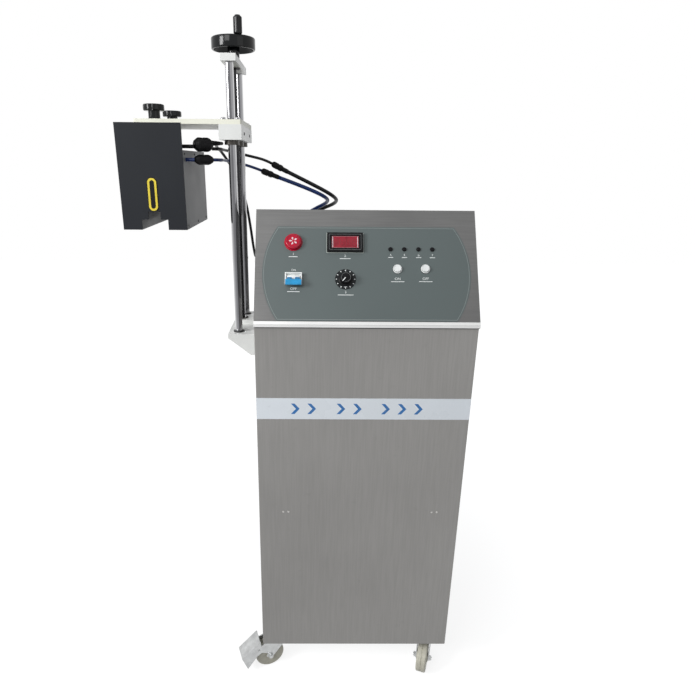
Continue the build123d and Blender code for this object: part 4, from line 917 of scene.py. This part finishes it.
# Camera, light and floor
def add_camera():
    """Camera solved from the cabinet's edges."""
    pitch, yaw, roll = math.radians(18.71), math.radians(0.52), math.radians(0.48)
    forward = Vector((math.sin(yaw) * math.cos(pitch), math.cos(yaw) * math.cos(pitch), -math.sin(pitch)))
    right = Vector((math.cos(yaw), -math.sin(yaw), 0))
    up = right.cross(forward)
    turned_right = math.cos(roll) * right + math.sin(roll) * up
    turned_up = -math.sin(roll) * right + math.cos(roll) * up
    data = bpy.data.cameras.new("camera")
    data.sensor_fit = "HORIZONTAL"
    data.sensor_width = 36
    data.lens = 28.258
    data.shift_x = 0.04757
    camera = link(bpy.data.objects.new("camera", data))
    turn = Matrix((turned_right, turned_up, -forward)).transposed().to_4x4()
    camera.matrix_world = Matrix.Translation((0.02851, -1.29844, 1.27582)) @ turn
    bpy.context.scene.camera = camera


def add_area(name, place, target, size, power):
    """Soft rectangular light aimed at a point."""
    data = bpy.data.lights.new(name, "AREA")
    data.shape = "RECTANGLE"
    data.size, data.size_y = size
    data.energy = power
    light = link(bpy.data.objects.new(name, data))
    aim = (Vector(target) - Vector(place)).to_track_quat("-Z", "Y").to_matrix().to_4x4()
    light.matrix_world = Matrix.Translation(Vector(place)) @ aim


def add_world():
    """White to the camera and in reflections, soft grey for the light."""
    world = bpy.data.worlds.new("studio")
    bpy.context.scene.world = world
    world.use_nodes = True
    tree = world.node_tree
    tree.nodes.clear()
    out = add_node(tree, "OutputWorld")
    ray = add_node(tree, "LightPath").outputs
    soft = add_node(tree, "Background", Color=(0.92, 0.95, 1.0, 1), Strength=0.25)
    seen = add_node(tree, "Background", Color=(1, 1, 1, 1))
    mixed = add_node(tree, "MixShader")
    white = any_of(tree, ray["Is Camera Ray"], ray["Is Glossy Ray"], ray["Is Transmission Ray"])
    tree.links.new(white, mixed.inputs["Fac"])
    tree.links.new(soft.outputs["Background"], mixed.inputs[1])
    tree.links.new(seen.outputs["Background"], mixed.inputs[2])
    tree.links.new(mixed.outputs["Shader"], out.inputs["Surface"])


def add_floor():
    """Pale floor, white to the camera, which keeps the shadow near the object."""
    mat = bpy.data.materials.new("floor")
    tree, out = nodes_of(mat)
    ray = add_node(tree, "LightPath").outputs
    matt = add_node(tree, "BsdfDiffuse", Color=(0.32, 0.32, 0.32, 1))
    seen = add_node(tree, "Emission", Color=(1, 1, 1, 1))
    away = tree.nodes.new("ShaderNodeVectorMath")
    away.operation = "LENGTH"
    tree.links.new(add_node(tree, "NewGeometry").outputs["Position"], away.inputs[0])
    glow = add_node(tree, "MapRange", From_Min=0.35, From_Max=1.3, To_Min=0.82, To_Max=1.0)
    tree.links.new(away.outputs["Value"], glow.inputs["Value"])
    share = tree.nodes.new("ShaderNodeMath")
    share.operation = "MULTIPLY"
    tree.links.new(any_of(tree, ray["Is Camera Ray"], ray["Is Glossy Ray"]), share.inputs[0])
    tree.links.new(glow.outputs["Result"], share.inputs[1])
    tree.links.new(share.outputs["Value"], seen.inputs["Strength"])
    added = add_node(tree, "AddShader")
    tree.links.new(matt.outputs["BSDF"], added.inputs[0])
    tree.links.new(seen.outputs["Emission"], added.inputs[1])
    tree.links.new(added.outputs["Shader"], out.inputs["Surface"])
    reach = 6
    corners = [(-reach, -reach, 0), (reach, -reach, 0), (reach, reach, 0), (-reach, reach, 0)]
    piece("floor", (corners, [(0, 1, 2, 3)]), mat, None)


# Hoses and cable
def route_line(points):
    """Centre line of a smooth route through the frame."""
    curve = bpy.data.curves.new("route", "CURVE")
    curve.dimensions = "3D"
    curve.resolution_u = 10
    spline = curve.splines.new("NURBS")
    spline.points.add(len(points) - 1)
    for point, place in zip(spline.points, points):
        point.co = (*place, 1)
    spline.order_u = 3
    spline.use_endpoint_u = True
    obj = link(bpy.data.objects.new("route", curve))
    mesh = bpy.data.meshes.new_from_object(obj)
    line = [vert.co.copy() for vert in mesh.vertices]
    bpy.data.objects.remove(obj)
    return line


def tube(line, radius, segments=14):
    """Points and faces of a round tube along a line."""
    verts, faces = [], []
    side = Vector((0, 0, 1))
    for number, place in enumerate(line):
        ahead = line[min(number + 1, len(line) - 1)] - line[max(number - 1, 0)]
        ahead.normalize()
        side = (side - ahead * side.dot(ahead)).normalized()
        other = ahead.cross(side)
        for step in range(segments):
            angle = 2 * math.pi * step / segments
            verts.append(place + radius * (math.cos(angle) * side + math.sin(angle) * other))
    for row in range(len(line) - 1):
        for step in range(segments):
            a = row * segments + step
            b = row * segments + (step + 1) % segments
            faces.append((a, b, b + segments, a + segments))
    faces.append(tuple(reversed(range(segments))))
    last = (len(line) - 1) * segments
    faces.append(tuple(range(last, last + segments)))
    return verts, faces


def add_hose(name, node, route, diameter, mat, moves):
    """Hose or cable along its route; a moving one blends between two bodies."""
    line = route_line(route)
    obj = piece(name, tube(line, diameter / 2), mat, None if moves else "cabinet", smooth=True)
    if moves:
        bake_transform(obj, "carriage", "cabinet", start=moves[0], end=moves[1])
    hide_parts(node)


def add_hoses():
    """The five cords of the photo."""
    sway = ((-0.19, 0.06, 1.30), (-0.07, 0.20, 1.27))
    drop = ((-0.20, 0.12, 1.31), (-0.127, 0.206, 1.05))
    add_hose("hose_black_tail", "black_hose_tail", BLACK_TAIL_ROUTE, 0.010, BLACK_HOSE,
             None)
    add_hose("hose_blue_tail", "blue_hose_tail", BLUE_TAIL_ROUTE, 0.010, BLUE_HOSE,
             None)
    add_hose("hose_black_head", "black_hose_head", BLACK_HEAD_ROUTE, 0.007, BLACK_HOSE,
             sway)
    add_hose("hose_blue_head", "blue_hose_head", BLUE_HEAD_ROUTE, 0.007, BLUE_HOSE,
             sway)
    add_hose("cable_head", "head_cable", CABLE_ROUTE, 0.007, BLACK_HOSE, drop)


bpy.context.scene.view_settings.view_transform = "Standard"
add_camera()
add_world()
add_floor()
add_area("key", (-2.36, -1.5, 2.0), (0.1, -0.1, 1.0), (0.85, 0.85), 58)
add_area("softbox", (-1.05, -1.95, 2.35), (0.0, -0.16, 1.05), (1.0, 1.0), 18)
add_area("fill", (2.2, -2.4, 1.8), (0.1, 0, 0.8), (1.8, 1.8), 6)
add_area("top", (0.0, -0.6, 3.2), (0.0, 0, 1.0), (2.4, 2.0), 6)
couplings = add_couplings()
add_hoses()
add_connectors()
add_boots()
add_ports()
add_overlay_marks()
add_buzzer_details()
add_meter_details()
add_breaker_details()
add_dial_details()
add_lamp_and_button_details()
add_strip()
add_rivets()
add_lip()
add_screw()
add_bracket_details()
add_head_details()
add_knob_tops()
add_handwheel()
